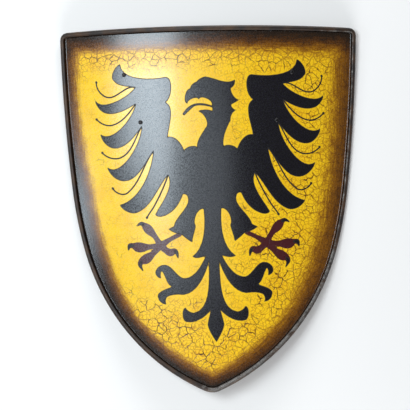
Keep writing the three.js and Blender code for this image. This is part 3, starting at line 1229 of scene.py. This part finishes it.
@dataclass(frozen=True)
class WaxedThread:
    """Pale linen thread, twisted and waxed."""

    linen: Colour = (0.42, 0.33, 0.20, 1)
    wax: Colour = (0.20, 0.14, 0.08, 1)
    twists_per_metre: float = 900.0
    relief: float = 0.0002

    def material(self) -> bpy.types.Material:
        """Builds the finish.

        Returns:
            The material.
        """
        nodes = Nodes("waxed_thread")
        wound = {"Vector": nodes.object_place(), "Scale": self.twists_per_metre, "Distortion": 1.0}
        twist = nodes.add("ShaderNodeTexWave", {"bands_direction": "DIAGONAL"}, wound, "Fac")
        return nodes.surface({
            "Base Color": nodes.mix(twist.between(0.1, 0.9) * 0.6, self.linen, self.wax),
            "Roughness": 0.6, "Normal": nodes.bump(twist, self.relief),
        })


class Finish(Enum):
    """The material slots of the sheet's mesh, in order."""

    FACE = 0
    RIM = 1
    BACK = 2


Zone = tuple[float, float]


@dataclass(frozen=True)
class Weathering:
    """Where the sheet's paint is smoked, crackled and rubbed, and where a painted highlight, partly wear,
    runs inside the right side of the rolled edge.

    Each zone is the two places, in millimetres on the flat sheet, between which its share rises
    from 0 to 1.
    """

    border_left: float = 35.0
    border_right: float = 48.0
    border_top_left: float = 48.0
    border_top_right: float = 58.0
    border_low_left: float = 35.0
    border_low_right: float = 40.0
    border_swell: float = 10.0
    soft_left: float = 1.45
    soft_right: float = 2.25
    soft_top: float = 1.3
    soft_lost_at_point: float = 0.6
    soft_lost_on_flank: float = 0.5
    to_right: Zone = (-120, 220)
    to_top: Zone = (-60, -20)
    to_point: Zone = (-420, -550)
    down_flank: Zone = (-170, -320)
    crackle_left: float = 0.22
    crackle_right: float = 0.76
    crackle_upper: float = 0.85
    crackle_to_right: Zone = (-60, 190)
    crackle_down: Zone = (-250, -520)
    crackle_top: float = 0.80
    crackle_to_top: Zone = (-115, -40)
    crackle_point: float = 0.64
    crackle_to_point: Zone = (-420, -560)
    beside_black: Zone = (8, 1)
    calmed_by_black: float = 0.55
    rubbed_low: float = 0.66
    rubbed_down: Zone = (-350, -440)
    rubbed_to_right: Zone = (-60, 10)
    # A band inside the right side of the rolled edge: partly wear and partly a painted highlight on the
    # bead's inner flank.
    inner_wear_and_highlight: float = 0.5
    inner_band_inwards: Zone = (5.0, 7.5)
    inner_band_far_right: Zone = (150, 240)
    kept_at_edge: float = 0.2
    off_edge: Zone = (1.6, 4.2)

    def border(self, across: Array, along: Array, inset: Array) -> Array:
        """The smoked border: 0 or less where it is darkest and 1 where it ends.

        The formula is 1 + (inset / width - 1) / softness. The border is wider at the right and at
        the top, and swells down the left side.

        Args:
            across: of each place, from the middle.
            along: of each place, from the top edge.
            inset: of each place, from the outline.

        Returns:
            The share for each place.
        """
        side = smooth_step(*self.to_right, across)
        top = smooth_step(*self.to_top, along)
        low = smooth_step(*self.to_point, along)
        flank = (1 - side) * smooth_step(*self.down_flank, along)
        width = blend(self.border_left, self.border_right, side) + self.border_swell * flank
        width = blend(width, blend(self.border_top_left, self.border_top_right, side), top)
        width = blend(width, blend(self.border_low_left, self.border_low_right, side), low)
        softness = blend(self.soft_left, self.soft_right, side * (1 - self.soft_lost_at_point * low))
        softness = blend(softness - self.soft_lost_on_flank * flank, self.soft_top, top)
        return 1 + (inset / width - 1) / softness

    def crackle(self, across: Array, along: Array, black: Array) -> Array:
        """How much of the paint is crackled, 0 to 1: most at the top, less near the black.

        Args:
            across: of each place, from the middle.
            along: of each place, from the top edge.
            black: distance to the black paint.

        Returns:
            The share for each place.
        """
        share = blend(self.crackle_left, self.crackle_right, smooth_step(*self.crackle_to_right, across))
        share = share * blend(self.crackle_upper, 1.0, smooth_step(*self.crackle_down, along))
        share = np.maximum(share, self.crackle_top * smooth_step(*self.crackle_to_top, along))
        share = np.maximum(share, self.crackle_point * smooth_step(*self.crackle_to_point, along))
        return share * (1 - self.calmed_by_black * smooth_step(*self.beside_black, black))

    def wear(self, across: Array, along: Array, inset: Array) -> Array:
        """How much of the rolled edge shows grey steel, 0 to 1: rubbed at the lower right, and inside the
        right side partly wear and partly a painted highlight.

        Args:
            across: of each place, from the middle.
            along: of each place, from the top edge.
            inset: of each place, from the outline.

        Returns:
            The share for each place.
        """
        low = smooth_step(*self.rubbed_down, along) * smooth_step(*self.rubbed_to_right, across)
        # inner is the painted highlight along the inside of the right side, partly wear.
        inner = smooth_step(*self.inner_band_inwards, inset) * smooth_step(*self.inner_band_far_right, across)
        worn = np.maximum(self.rubbed_low * low, self.inner_wear_and_highlight * inner)
        return worn * blend(self.kept_at_edge, 1.0, smooth_step(*self.off_edge, inset))


# Sub-assemblies

@dataclass
class PaintedSheet:
    """The steel sheet with its rolled edge, painted in front: one closed mesh."""

    shape: SheetShape
    resting: Resting
    eagle: Eagle = field(default_factory=Eagle)
    name: str = "painted_sheet"
    fold_steps: int = 3
    inside_steps: int = 4
    outside_steps: int = 14
    coarse: int = 3
    band: float = 4.0
    weathering: Weathering = field(default_factory=Weathering)
    figure_half: float = 232.0
    figure_top: float = -50.0
    figure_foot: float = -595.0
    streak_width: float = 0.35
    streak_run: float = 0.03
    top_slack: float = 1.0

    def section(self) -> Array:
        """Stations of the rolled edge's section, as (inset, height), from the front to the back.

        The fold is a quarter turn about a centre below the face, and the bead a turn of nearly a
        circle about its own. Each is run twice, at half the metal's thickness to either side.

        Returns:
            n by 2 stations.
        """
        shape = self.shape
        half = shape.thickness / 2
        bead_radius = (shape.bead - shape.thickness) / 2

        def turn(centre: float, radius: float, angle: Array) -> Array:
            """Part of a circle whose centre lies at an inset, a fold's radius below the middle."""
            return np.stack([centre - radius * np.cos(angle), radius * np.sin(angle) - shape.fold_radius], -1)

        quarter = np.linspace(math.pi / 2, 0, self.fold_steps + 1)
        inside = math.pi + shape.curl * np.linspace(0, 1, self.inside_steps + 1)[1:]
        outside = math.pi + shape.curl * np.linspace(1, 0, self.outside_steps + 1)[:-1]
        return np.concatenate([
            turn(shape.fold_inset, shape.fold_radius + half, quarter),
            turn(shape.bead / 2, bead_radius - half, inside),
            turn(shape.bead / 2, bead_radius + half, outside),
            turn(shape.fold_inset, shape.fold_radius - half, quarter[::-1]),
        ])

    def face_grid(self, inset: float, height: float, every: int) -> Array:
        """Points of one face, as rows from side to side: across = column * half-width of the row.

        Args:
            inset: of its border from the outline.
            height: off the middle of the metal.
            every: takes each column and row of that count.

        Returns:
            Rows by columns by 3. The last row is the point, once for every column.
        """
        side = self.shape.side(inset)[::every]
        columns = self.shape.spread()[::every]
        across = side[:, 0, None] * columns
        along = np.broadcast_to(side[:, 1, None], across.shape)
        return np.stack([across, along, np.full(across.shape, height)], -1)

    def build(self) -> bpy.types.Object:
        """Makes the mesh, its attributes and its finishes, and returns the piece.

        Returns:
            The piece, with its finishes.
        """
        shape = self.shape
        stations = self.section()
        around = len(shape.ring(0.0))
        rings = [np.column_stack([shape.ring(inset), np.full(around, height)]) for inset, height in stations]
        insets = [np.full(around, inset) for inset, _ in stations]
        front = self.face_grid(shape.fold_inset, shape.thickness / 2, 1)
        back = self.face_grid(shape.fold_inset + self.band, -shape.thickness / 2, self.coarse)

        inner_front = front[1:-1, 1:-1].reshape(-1, 3)
        coarse_ring = self._border(back)
        inner_back = back[1:-1, 1:-1].reshape(-1, 3)
        sheet = np.concatenate(rings + [inner_front, coarse_ring, inner_back])
        first_inner = around * len(rings)
        first_coarse = first_inner + len(inner_front)
        first_back = first_coarse + len(coarse_ring)

        front_quads, front_fans = self._grid_faces(front.shape, np.arange(around), first_inner)
        back_quads, back_fans = self._grid_faces(
            back.shape, first_coarse + np.arange(len(coarse_ring)), first_back)
        rim = tube_faces(len(rings), around)[:, ::-1]
        band = self._band_faces(around * (len(rings) - 1), around, first_coarse, len(coarse_ring))
        quads = np.concatenate([front_quads, rim, back_quads[:, ::-1]])
        triangles = np.concatenate([front_fans, band, back_fans[:, ::-1]])

        low, high = (np.array(corner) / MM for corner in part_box("shield_plate"))
        placed = np.clip(self.resting.place(shape.bend(sheet)), low, high)
        piece = new_piece(self.name, placed, quads, triangles)
        fold_faces = self.fold_steps * around
        runs = ((Finish.FACE, len(front_quads) + fold_faces), (Finish.RIM, len(rim) - fold_faces),
                (Finish.BACK, len(back_quads)), (Finish.FACE, len(front_fans)),
                (Finish.BACK, len(band) + len(back_fans)))
        slots = np.concatenate([np.full(count, finish.value, dtype=np.int32) for finish, count in runs])
        piece.data.polygons.foreach_set("material_index", slots)
        self._paint(piece, sheet, insets, first_inner)
        for finish in (FacePaint(), RimPaint(), BackPaint()):
            piece.data.materials.append(finish.material())
        return piece

    @staticmethod
    def _border(grid: Array) -> Array:
        """A grid's border in the order of SheetShape.ring: top, right side, point, left side."""
        return np.concatenate([grid[0], grid[1:-1, -1], grid[-1, :1], grid[1:-1, 0][::-1]])

    @staticmethod
    def _grid_faces(size: tuple[int, ...], ring: Array, first_inner: int) -> tuple[Array, Array]:
        """Faces of a grid whose border is a ring that is there already.

        Args:
            size: of the grid, rows by columns.
            ring: indices of its border, in the order of SheetShape.ring.
            first_inner: index of its first point inside the border.

        Returns:
            Quads, and the triangles at the point, all facing up.
        """
        rows, columns = size[:2]
        index = np.empty((rows, columns), dtype=np.int64)
        index[0] = ring[:columns]
        index[1:-1, -1] = ring[columns:columns + rows - 2]
        index[-1] = ring[columns + rows - 2]
        index[1:-1, 0] = ring[columns + rows - 1:][::-1]
        inner = (rows - 2, columns - 2)
        index[1:-1, 1:-1] = first_inner + np.arange(math.prod(inner)).reshape(inner)
        a, b, c, d = index[:-1, :-1], index[:-1, 1:], index[1:, 1:], index[1:, :-1]
        quads = np.stack([a, d, c, b], -1)[:-1].reshape(-1, 4)
        fans = np.stack([a[-1], c[-1], b[-1]], -1)
        return quads, fans

    def _band_faces(self, fine_start: int, fine: int, coarse_start: int, coarse: int) -> Array:
        """Triangles that join the fine ring at the back to the coarse ring inside it.

        Args:
            fine_start: index of the fine ring's first point.
            fine: its number of points.
            coarse_start: index of the coarse ring's first point.
            coarse: its number of points.

        Returns:
            n by 3 indices, all facing back.
        """
        step = self.coarse
        cell = np.arange(coarse)
        inner, inner_next = coarse_start + cell, coarse_start + (cell + 1) % coarse
        outer = [fine_start + (cell * step + k) % fine for k in range(step + 1)]
        fans = [np.stack([inner, outer[k], outer[k + 1]], -1) for k in range(step)]
        closing = np.stack([inner, outer[step], inner_next], -1)
        return np.concatenate(fans + [closing])

    def _paint(self, piece: bpy.types.Object, sheet: Array, insets: list[Array], first_inner: int) -> None:
        """Stores what the finishes read: places on the sheet, the figure, the border, cracks, and wear with a
        painted highlight on the rolled edge.

        Args:
            piece: the sheet's mesh object.
            sheet: its points before they are bent.
            insets: of the points of each ring of the rolled edge, from the outline.
            first_inner: index of the first point inside the rings.
        """
        off = distance_to_outline(sheet[first_inner:, :2], self.shape.ring(0.0))
        inset = np.concatenate(insets + [off])
        across, along = sheet[:, 0], sheet[:, 1]
        reach = self.eagle.reach
        black, red = np.full(len(sheet), reach), np.full(len(sheet), reach)
        quill = np.full((len(sheet), 3), reach)
        seen = (np.arange(len(sheet)) >= first_inner) & (sheet[:, 2] > 0)
        seen &= (np.abs(across) < self.figure_half) & (along < self.figure_top) & (along > self.figure_foot)
        black[seen], red[seen], quill[seen] = self.eagle.distances(sheet[seen, :2])
        by_top = along + inset > -self.top_slack
        run = np.where(by_top, across, along)
        streak = np.stack([inset * self.streak_width, run * self.streak_run, np.zeros(len(run))], -1)
        aged = self.weathering
        stored = {
            "sheet": sheet * MM,
            "border": aged.border(across, along, inset),
            "streak": streak,
            "quill": quill,
            "black": black,
            "red": red,
            "crazed": aged.crackle(across, along, black),
            # Grey steel on the rolled edge: wear, and a painted highlight inside the right side.
            "worn": aged.wear(across, along, inset),
        }
        for name, values in stored.items():
            paint_attribute(piece, name, values)


@dataclass(frozen=True)
class Fastenings:
    """The sizes that the rivets and the straps share."""

    head_diameter: float = 8.0
    head_height: float = 2.4
    shank_diameter: float = 4.0
    tail_diameter: float = 12.0
    tail_height: float = 1.6
    seat_gap: float = 0.4
    upper: tuple[float, float] = (157.0, -86.0)
    lower: tuple[float, float] = (126.5, -175.0)
    strap_width: float = 38.0
    strap_thickness: float = 4.0


@dataclass
class Rivet:
    """A domed rivet through the sheet and a strap, with a flat tail behind."""

    name: str
    place: tuple[float, float]
    sizes: Fastenings
    shape: SheetShape
    resting: Resting
    sides: int = 32
    dome_steps: int = 8
    rim: float = 0.35
    tail_round: tuple[tuple[float, float], ...] = ((0.45, 1), (0.8, 0.85), (0.96, 0.5), (1, 0.2), (1, 0))

    def profile(self) -> Array:
        """Half section as (radius, height off the sheet), from the middle of the tail to that of the dome.

        Returns:
            n by 2 places.
        """
        s = self.sizes
        seat = self.shape.thickness / 2 + s.seat_gap
        tail = -(seat + s.strap_thickness + s.seat_gap)
        angle = np.linspace(0, math.pi / 2, self.dome_steps)[:-1]
        dome = np.stack([s.head_diameter / 2 * np.cos(angle),
                         seat + self.rim + (s.head_height - self.rim) * np.sin(angle)], -1)
        back = np.array(self.tail_round) * [s.tail_diameter / 2, -s.tail_height] + [0, tail]
        shank = [[s.shank_diameter / 2, tail], [s.shank_diameter / 2, seat], [s.head_diameter / 2, seat]]
        return np.concatenate([[[0, tail - s.tail_height]], back, shank, dome, [[0, seat + s.head_height]]])

    def build(self) -> bpy.types.Object:
        """Spins the profile about the sheet's normal at the rivet: (r cos a, r sin a, h).

        Returns:
            The piece, with its finish.
        """
        profile = self.profile()
        rings = profile[1:-1]
        angle = np.linspace(0, 2 * math.pi, self.sides, endpoint=False)
        circle = np.stack([np.cos(angle), np.sin(angle), np.zeros(self.sides)], -1)
        rise = np.array([0, 0, 1])
        local = (rings[:, :1, None] * circle + rings[:, 1:, None] * rise).reshape(-1, 3)
        local = np.concatenate([local, profile[[0, -1], 1:] * rise])
        here = np.arange(self.sides)
        after = (here + 1) % self.sides
        tail_end = len(rings) * self.sides
        last_ring = tail_end - self.sides
        tail_fan = np.stack([np.full(self.sides, tail_end), after, here], -1)
        dome_fan = np.stack([np.full(self.sides, tail_end + 1), last_ring + here, last_ring + after], -1)
        turn = self.place[0] / self.shape.bend_radius
        sin, cos = math.sin(turn), math.cos(turn)
        axes = np.array([[cos, 0, -sin], [0, 1, 0], [sin, 0, cos]])
        points = self.shape.bend(np.array([*self.place, 0.0])) + local @ axes
        piece = new_piece(self.name, self.resting.place(points), tube_faces(len(rings), self.sides),
                          np.concatenate([tail_fan, dome_fan]))
        piece.data.materials.append(BlackSteel().material())
        return piece


@dataclass
class Strap:
    """A leather strap behind the sheet, bowed out between two rivets, with two rows of stitches."""

    side: str
    sign: int
    sizes: Fastenings
    shape: SheetShape
    resting: Resting
    floor_gap: float = 3.0
    tab: float = 10.0
    lap: float = 17.0
    end_radius: float = 12.0
    bend_radius: float = 8.0
    leg_angle: float = math.radians(75)
    corner: float = 1.3
    bow_steps: int = 17
    bend_steps: int = 9
    leg_steps: int = 5
    tab_steps: int = 7
    section_steps: int = 8
    dark_rim: Zone = (3.5, 0.5)
    stitch_inset: float = 4.5
    stitch_pitch: float = 5.0
    stitch_length: float = 3.4
    stitch_half: float = 0.55
    stitch_flatness: float = 0.8
    stitch_tip: float = 0.02
    stitch_free: float = 24.0
    stitch_rings: int = 7
    stitch_sides: int = 6

    def ends(self) -> tuple[Array, Array]:
        """The lower and the upper rivet, as (across, along)."""
        flip = np.array([self.sign, 1])
        return np.array(self.sizes.lower) * flip, np.array(self.sizes.upper) * flip

    @property
    def half_span(self) -> float:
        """Half the distance between the two rivets."""
        lower, upper = self.ends()
        return float(np.linalg.norm(upper - lower)) / 2

    def depth_over_floor(self) -> float:
        """How far back the bow may reach, so that a gap is left over what the shield lies on.

        Returns:
            How much farther back the bow's middle is than the strap's tabs.
        """
        s = self.sizes
        lower, upper = self.ends()
        middle = (lower + upper) / 2
        outer = middle[0] + self.sign * s.strap_width / 2
        back = -(self.shape.thickness / 2 + s.seat_gap) - s.strap_thickness
        lowest = self.resting.place(self.shape.bend(np.array([outer, middle[1], back])))
        return (lowest[2] - self.floor_gap) / math.cos(outer / self.shape.bend_radius)

    def middle_line(self) -> Array:
        """The strap's middle line as (distance along, depth behind the sheet), end to end.

        From the middle outwards it is an arc down to the leg's angle, a straight leg, an arc back to
        the sheet and a flat tab. The arc's radius is what brings the leg to the tab.

        Returns:
            n by 2 places.
        """
        seat = self.shape.thickness / 2 + self.sizes.seat_gap + self.sizes.strap_thickness / 2
        depth = self.depth_over_floor()
        sin, cos = math.sin(self.leg_angle), math.cos(self.leg_angle)
        tab_start = self.half_span - self.tab
        reach = tab_start - self.bend_radius * sin
        rise = depth - self.bend_radius * (1 - cos)
        bow = (cos * rise - sin * reach) / (cos - 1)
        angle = np.linspace(0, self.leg_angle, self.bow_steps + 1)
        arc = np.stack([bow * np.sin(angle), seat + depth - bow * (1 - np.cos(angle))], -1)
        angle = np.linspace(self.leg_angle, 0, self.bend_steps + 1)
        foot = np.stack([tab_start - self.bend_radius * np.sin(angle),
                         seat + self.bend_radius * (1 - np.cos(angle))], -1)
        leg = blend(arc[-1], foot[0], np.linspace(0, 1, self.leg_steps + 1)[1:-1, None])
        round_start = self.half_span + self.lap - self.end_radius
        quarter = np.linspace(0, math.pi / 2, self.tab_steps + 1)[1:]
        out = np.concatenate([np.linspace(tab_start, round_start, self.tab_steps + 1)[1:],
                              round_start + self.end_radius * np.sin(quarter)])
        half = np.concatenate([arc, leg, foot, np.stack([out, np.full(len(out), seat)], -1)])
        return np.concatenate([half[1:][::-1] * [-1, 1], half])

    def half_width(self, distance: Array) -> Array:
        """Half the strap's width at a distance from its middle: the corners of its ends are round.

        Args:
            distance: along the strap, from its middle.

        Returns:
            One for each distance.
        """
        into = np.abs(distance) - self.half_span - self.lap + self.end_radius
        into = np.clip(into, 0, self.end_radius)
        return self.sizes.strap_width / 2 - self.end_radius + np.sqrt(self.end_radius**2 - into**2)

    def carry(self, distance: Array, depth: Array, width: Array) -> Array:
        """Carries places on the strap into the row's frame.

        Args:
            distance: along the strap, from its middle.
            depth: behind the middle of the sheet.
            width: across the strap, from its middle.

        Returns:
            n by 3 points, bent with the sheet and laid down with it.
        """
        lower, upper = self.ends()
        along = (upper - lower) / np.linalg.norm(upper - lower)
        across = np.array([along[1], -along[0]])
        flat = (lower + upper) / 2 + distance[..., None] * along + width[..., None] * across
        sheet = np.concatenate([flat, -depth[..., None]], -1).reshape(-1, 3)
        return self.resting.place(self.shape.bend(sheet))

    def normals(self, line: Array) -> Array:
        """Unit normals of the middle line, pointing away from the sheet.

        Args:
            line: the middle line.

        Returns:
            n by 2 normals.
        """
        run = np.gradient(line, axis=0)
        run = run / np.linalg.norm(run, axis=1, keepdims=True)
        return np.stack([-run[:, 1], run[:, 0]], -1)

    def build(self) -> bpy.types.Object:
        """Carries a round-cornered rectangle along the middle line, and closes both ends.

        Returns:
            The piece, with its finish.
        """
        line = self.middle_line()
        normal = self.normals(line)
        across, off, turn = self._section()
        width = self.half_width(line[:, 0])[:, None]
        side = across * (width - self.corner) + turn[:, 0] * self.corner
        lift = off * (self.sizes.strap_thickness / 2 - self.corner) + turn[:, 1] * self.corner
        lift = np.broadcast_to(lift, side.shape)
        distance, depth = (line[:, k, None] + normal[:, k, None] * lift for k in (0, 1))
        around = len(across)
        last = (len(line) - 1) * around
        quads = np.concatenate([
            tube_faces(len(line), around), self._cap(around, 0), self._cap(around, last)[:, ::-1]])
        piece = new_piece(f"leather_{self.side}", self.carry(distance, depth, side), quads)
        leather = np.stack([side, np.broadcast_to(line[:, 0, None], side.shape), lift], -1).reshape(-1, 3)
        paint_attribute(piece, "leather", leather * MM)
        paint_attribute(piece, "rim", smooth_step(*self.dark_rim, (width - np.abs(side)).ravel()))
        piece.data.materials.append(WaxedLeather().material())
        return piece

    def _section(self) -> tuple[Array, Array, Array]:
        """The section's places: share of the width, share of the thickness, and the corner's turn.

        Returns:
            The three, for each point of the section.
        """
        flat = np.linspace(-1, 1, self.section_steps + 1)[1:-1]
        quarter = np.linspace(0, math.pi / 2, 4)
        across, off, turn = [], [], []
        for number, (x, y) in enumerate(((1.0, 1.0), (-1.0, 1.0), (-1.0, -1.0), (1.0, -1.0))):
            angle = quarter + number * math.pi / 2
            across.append(np.full(len(angle), x))
            off.append(np.full(len(angle), y))
            turn.append(np.stack([np.cos(angle), np.sin(angle)], -1))
            if number in (0, 2):
                across.append(flat * -x)
                off.append(np.full(len(flat), y))
                turn.append(np.tile([0.0, y], (len(flat), 1)))
        return np.concatenate(across), np.concatenate(off), np.concatenate(turn)

    @staticmethod
    def _cap(around: int, first: int) -> Array:
        """Quads across an end: each joins two points of the section to the two that face them."""
        k = np.arange(around // 2 - 1)
        return first + np.stack([k + 1, k, around - 1 - k, around - 2 - k], -1)

    def stitches(self) -> bpy.types.Object:
        """Short threads in two rows on the bow's outside, each a spindle: radius = half * sqrt(1 - t^4).

        Returns:
            The piece, all its threads in one mesh.
        """
        line = self.middle_line()
        normal = self.normals(line)
        run = np.concatenate([[0], np.cumsum(np.linalg.norm(np.diff(line, axis=0), axis=1))])
        count = int((run[-1] - 2 * self.stitch_free) / self.stitch_pitch)
        centres = self.stitch_free + self.stitch_pitch * (np.arange(count) + 0.5)
        rows = np.array([-1.0, 1.0]) * (self.sizes.strap_width / 2 - self.stitch_inset)
        t = np.linspace(-1, 1, self.stitch_rings)[:, None]
        angle = np.linspace(0, 2 * math.pi, self.stitch_sides, endpoint=False)
        radius = self.stitch_half * np.sqrt(np.maximum(1 - t**4, self.stitch_tip))
        lift = self.sizes.strap_thickness / 2 + radius * np.sin(angle) * self.stitch_flatness
        size = (2, count, self.stitch_rings, self.stitch_sides)
        at = np.broadcast_to(centres[:, None, None] + self.stitch_length / 2 * t, size)
        side = np.broadcast_to(rows[:, None, None, None] + radius * np.cos(angle), size)
        distance, depth = (
            np.interp(at, run, line[:, k]) + np.interp(at, run, normal[:, k]) * lift for k in (0, 1))
        ends = np.array([[0, 1, 2, 3], [0, 3, 4, 5]])
        last = (self.stitch_rings - 1) * self.stitch_sides
        one = np.concatenate([
            tube_faces(self.stitch_rings, self.stitch_sides), ends, (last + ends)[:, ::-1]])
        first = np.arange(2 * count)[:, None, None] * self.stitch_rings * self.stitch_sides
        piece = new_piece(f"stitching_{self.side}", self.carry(distance, depth, side),
                          (first + one).reshape(-1, 4))
        piece.data.materials.append(WaxedThread().material())
        return piece


# Studio

@dataclass(frozen=True)
class Studio:
    """The floor, the lights and the camera."""

    shape: SheetShape
    resting: Resting
    picture: float = 410.0
    centre_px: tuple[float, float] = (210.5, 213.3)
    px_per_mm: float = 0.529
    distance: float = 2400.0
    middle: float = -345.0
    yaw: float = -0.0175
    roll: float = -0.0158
    sensor: float = 36.0
    sight: float = 50.0
    floor_half: float = 8.0
    floor_drop: float = 0.0001
    floor_grey: float = 0.88
    surroundings: float = 0.09

    def camera(self) -> None:
        """Looks down on the shield, square to its face, with the photograph's turn and framing."""
        data = bpy.data.cameras.new("camera")
        data.sensor_width = self.sensor
        data.lens = self.px_per_mm * self.distance / self.picture * self.sensor
        data.shift_x = -(self.centre_px[0] - self.picture / 2) / self.picture
        data.shift_y = (self.centre_px[1] - self.picture / 2) / self.picture
        data.clip_end = self.sight
        camera = put("camera", data)
        turned = Matrix.Translation((0, self.middle, 0)) @ Matrix.Rotation(-self.yaw, 4, "Y")
        rolled = Matrix.Translation((0, 0, self.distance)) @ Matrix.Rotation(self.roll, 4, "Z")
        placed = self.resting.matrix() @ turned @ rolled
        placed.translation = placed.translation * MM
        camera.matrix_world = placed
        bpy.context.scene.camera = camera

    def floor(self) -> None:
        """A plain pale floor under the shield."""
        mesh = bpy.data.meshes.new("floor")
        half = self.floor_half
        places = [(x * half, y * half, -self.floor_drop) for x, y in ((-1, -1), (1, -1), (1, 1), (-1, 1))]
        mesh.from_pydata(places, [], [(0, 1, 2, 3)])
        pale = {"Base Color": (*(self.floor_grey,) * 3, 1), "Roughness": 0.9, "Specular IOR Level": 0.1}
        mesh.materials.append(Nodes("pale_floor").surface(pale))
        floor = put("floor", mesh)
        floor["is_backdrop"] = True

    def light(self, name: str, towards: tuple[float, float], distance: float, size: tuple[float, float],
              watts: float, colour: tuple[float, float, float] = (1, 1, 1)) -> None:
        """A soft rectangular light that faces the row's origin.

        Args:
            name: the light's name.
            towards: degrees off straight up, to the right and towards the top edge.
            distance: from the row's origin, in metres.
            size: width and height, in metres.
            watts: its power.
            colour: its tint.
        """
        data = bpy.data.lights.new(name, "AREA")
        data.shape = "RECTANGLE"
        data.size, data.size_y = size
        data.energy = watts
        data.color = colour
        light = put(name, data)
        right, up = (math.tan(math.radians(angle)) for angle in towards)
        away = Vector((right, up, 1)).normalized()
        light.location = away * distance
        light.rotation_euler = away.to_track_quat("Z", "Y").to_euler()

    def build(self) -> None:
        """Sets up floor, camera, lights and surroundings."""
        self.floor()
        self.camera()
        self.light("key", (-27, 12), 2.6, (1.0, 1.1), 38, (0.91, 0.97, 1.0))
        self.light("fill", (-9, -1), 2.6, (0.8, 1.6), 6, (0.93, 0.97, 1.0))
        self.light("left_strip", (-60, -5), 2.7, (0.35, 0.7), 9, (0.88, 0.95, 1.0))
        self.light("top_low", (12, 70), 2.8, (2.4, 0.7), 50)
        self.light("foot_low", (12, -70), 2.8, (2.4, 0.7), 66)
        world = bpy.data.worlds.new("surroundings")
        world.use_nodes = True
        background = world.node_tree.nodes["Background"].inputs
        background["Color"].default_value = (1, 1, 1, 1)
        background["Strength"].default_value = self.surroundings
        bpy.context.scene.world = world
        bpy.context.scene.view_settings.view_transform = "Standard"


def keep(piece: bpy.types.Object, slot: str, *nodes: str) -> None:
    """Hangs a finished piece on the only body, hides the CAD nodes it stands for, and reports it.

    Args:
        piece: the mesh object.
        slot: of its material; not used.
        nodes: the CAD nodes that it stands for, if any.
    """
    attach(piece, "root")
    if nodes:
        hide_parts(*nodes)
    log.info("%s: %d faces", piece.name, len(piece.data.polygons))


def corners() -> list[list[float]]:
    """The shown object's lowest and highest corner, as plain lists."""
    return [list(corner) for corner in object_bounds()]


def main() -> None:
    """Builds every sub-assembly in order and reports it."""
    logging.basicConfig(level=logging.INFO, format="%(name)s: %(message)s")
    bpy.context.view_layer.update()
    shape = SheetShape()
    resting = Resting.from_frame(shape)
    log.info("tilt %.3f degrees, shift %s", math.degrees(resting.tilt), np.round(resting.shift, 3))
    keep(PaintedSheet(shape, resting).build(), "painted_steel", "shield_plate")
    sizes = Fastenings()
    for side, sign in (("left", -1), ("right", 1)):
        strap = Strap(side, sign, sizes, shape, resting)
        keep(strap.build(), "leather", f"strap_{side}")
        keep(strap.stitches(), "leather")
        for level, place in (("upper", sizes.upper), ("lower", sizes.lower)):
            node = f"rivet_{side}_{level}"
            rivet = Rivet(f"domed_{node}", (sign * place[0], place[1]), sizes, shape, resting)
            keep(rivet.build(), "blackened_steel", node)
    Studio(shape, resting).build()


if __name__ == "__main__":
    main()
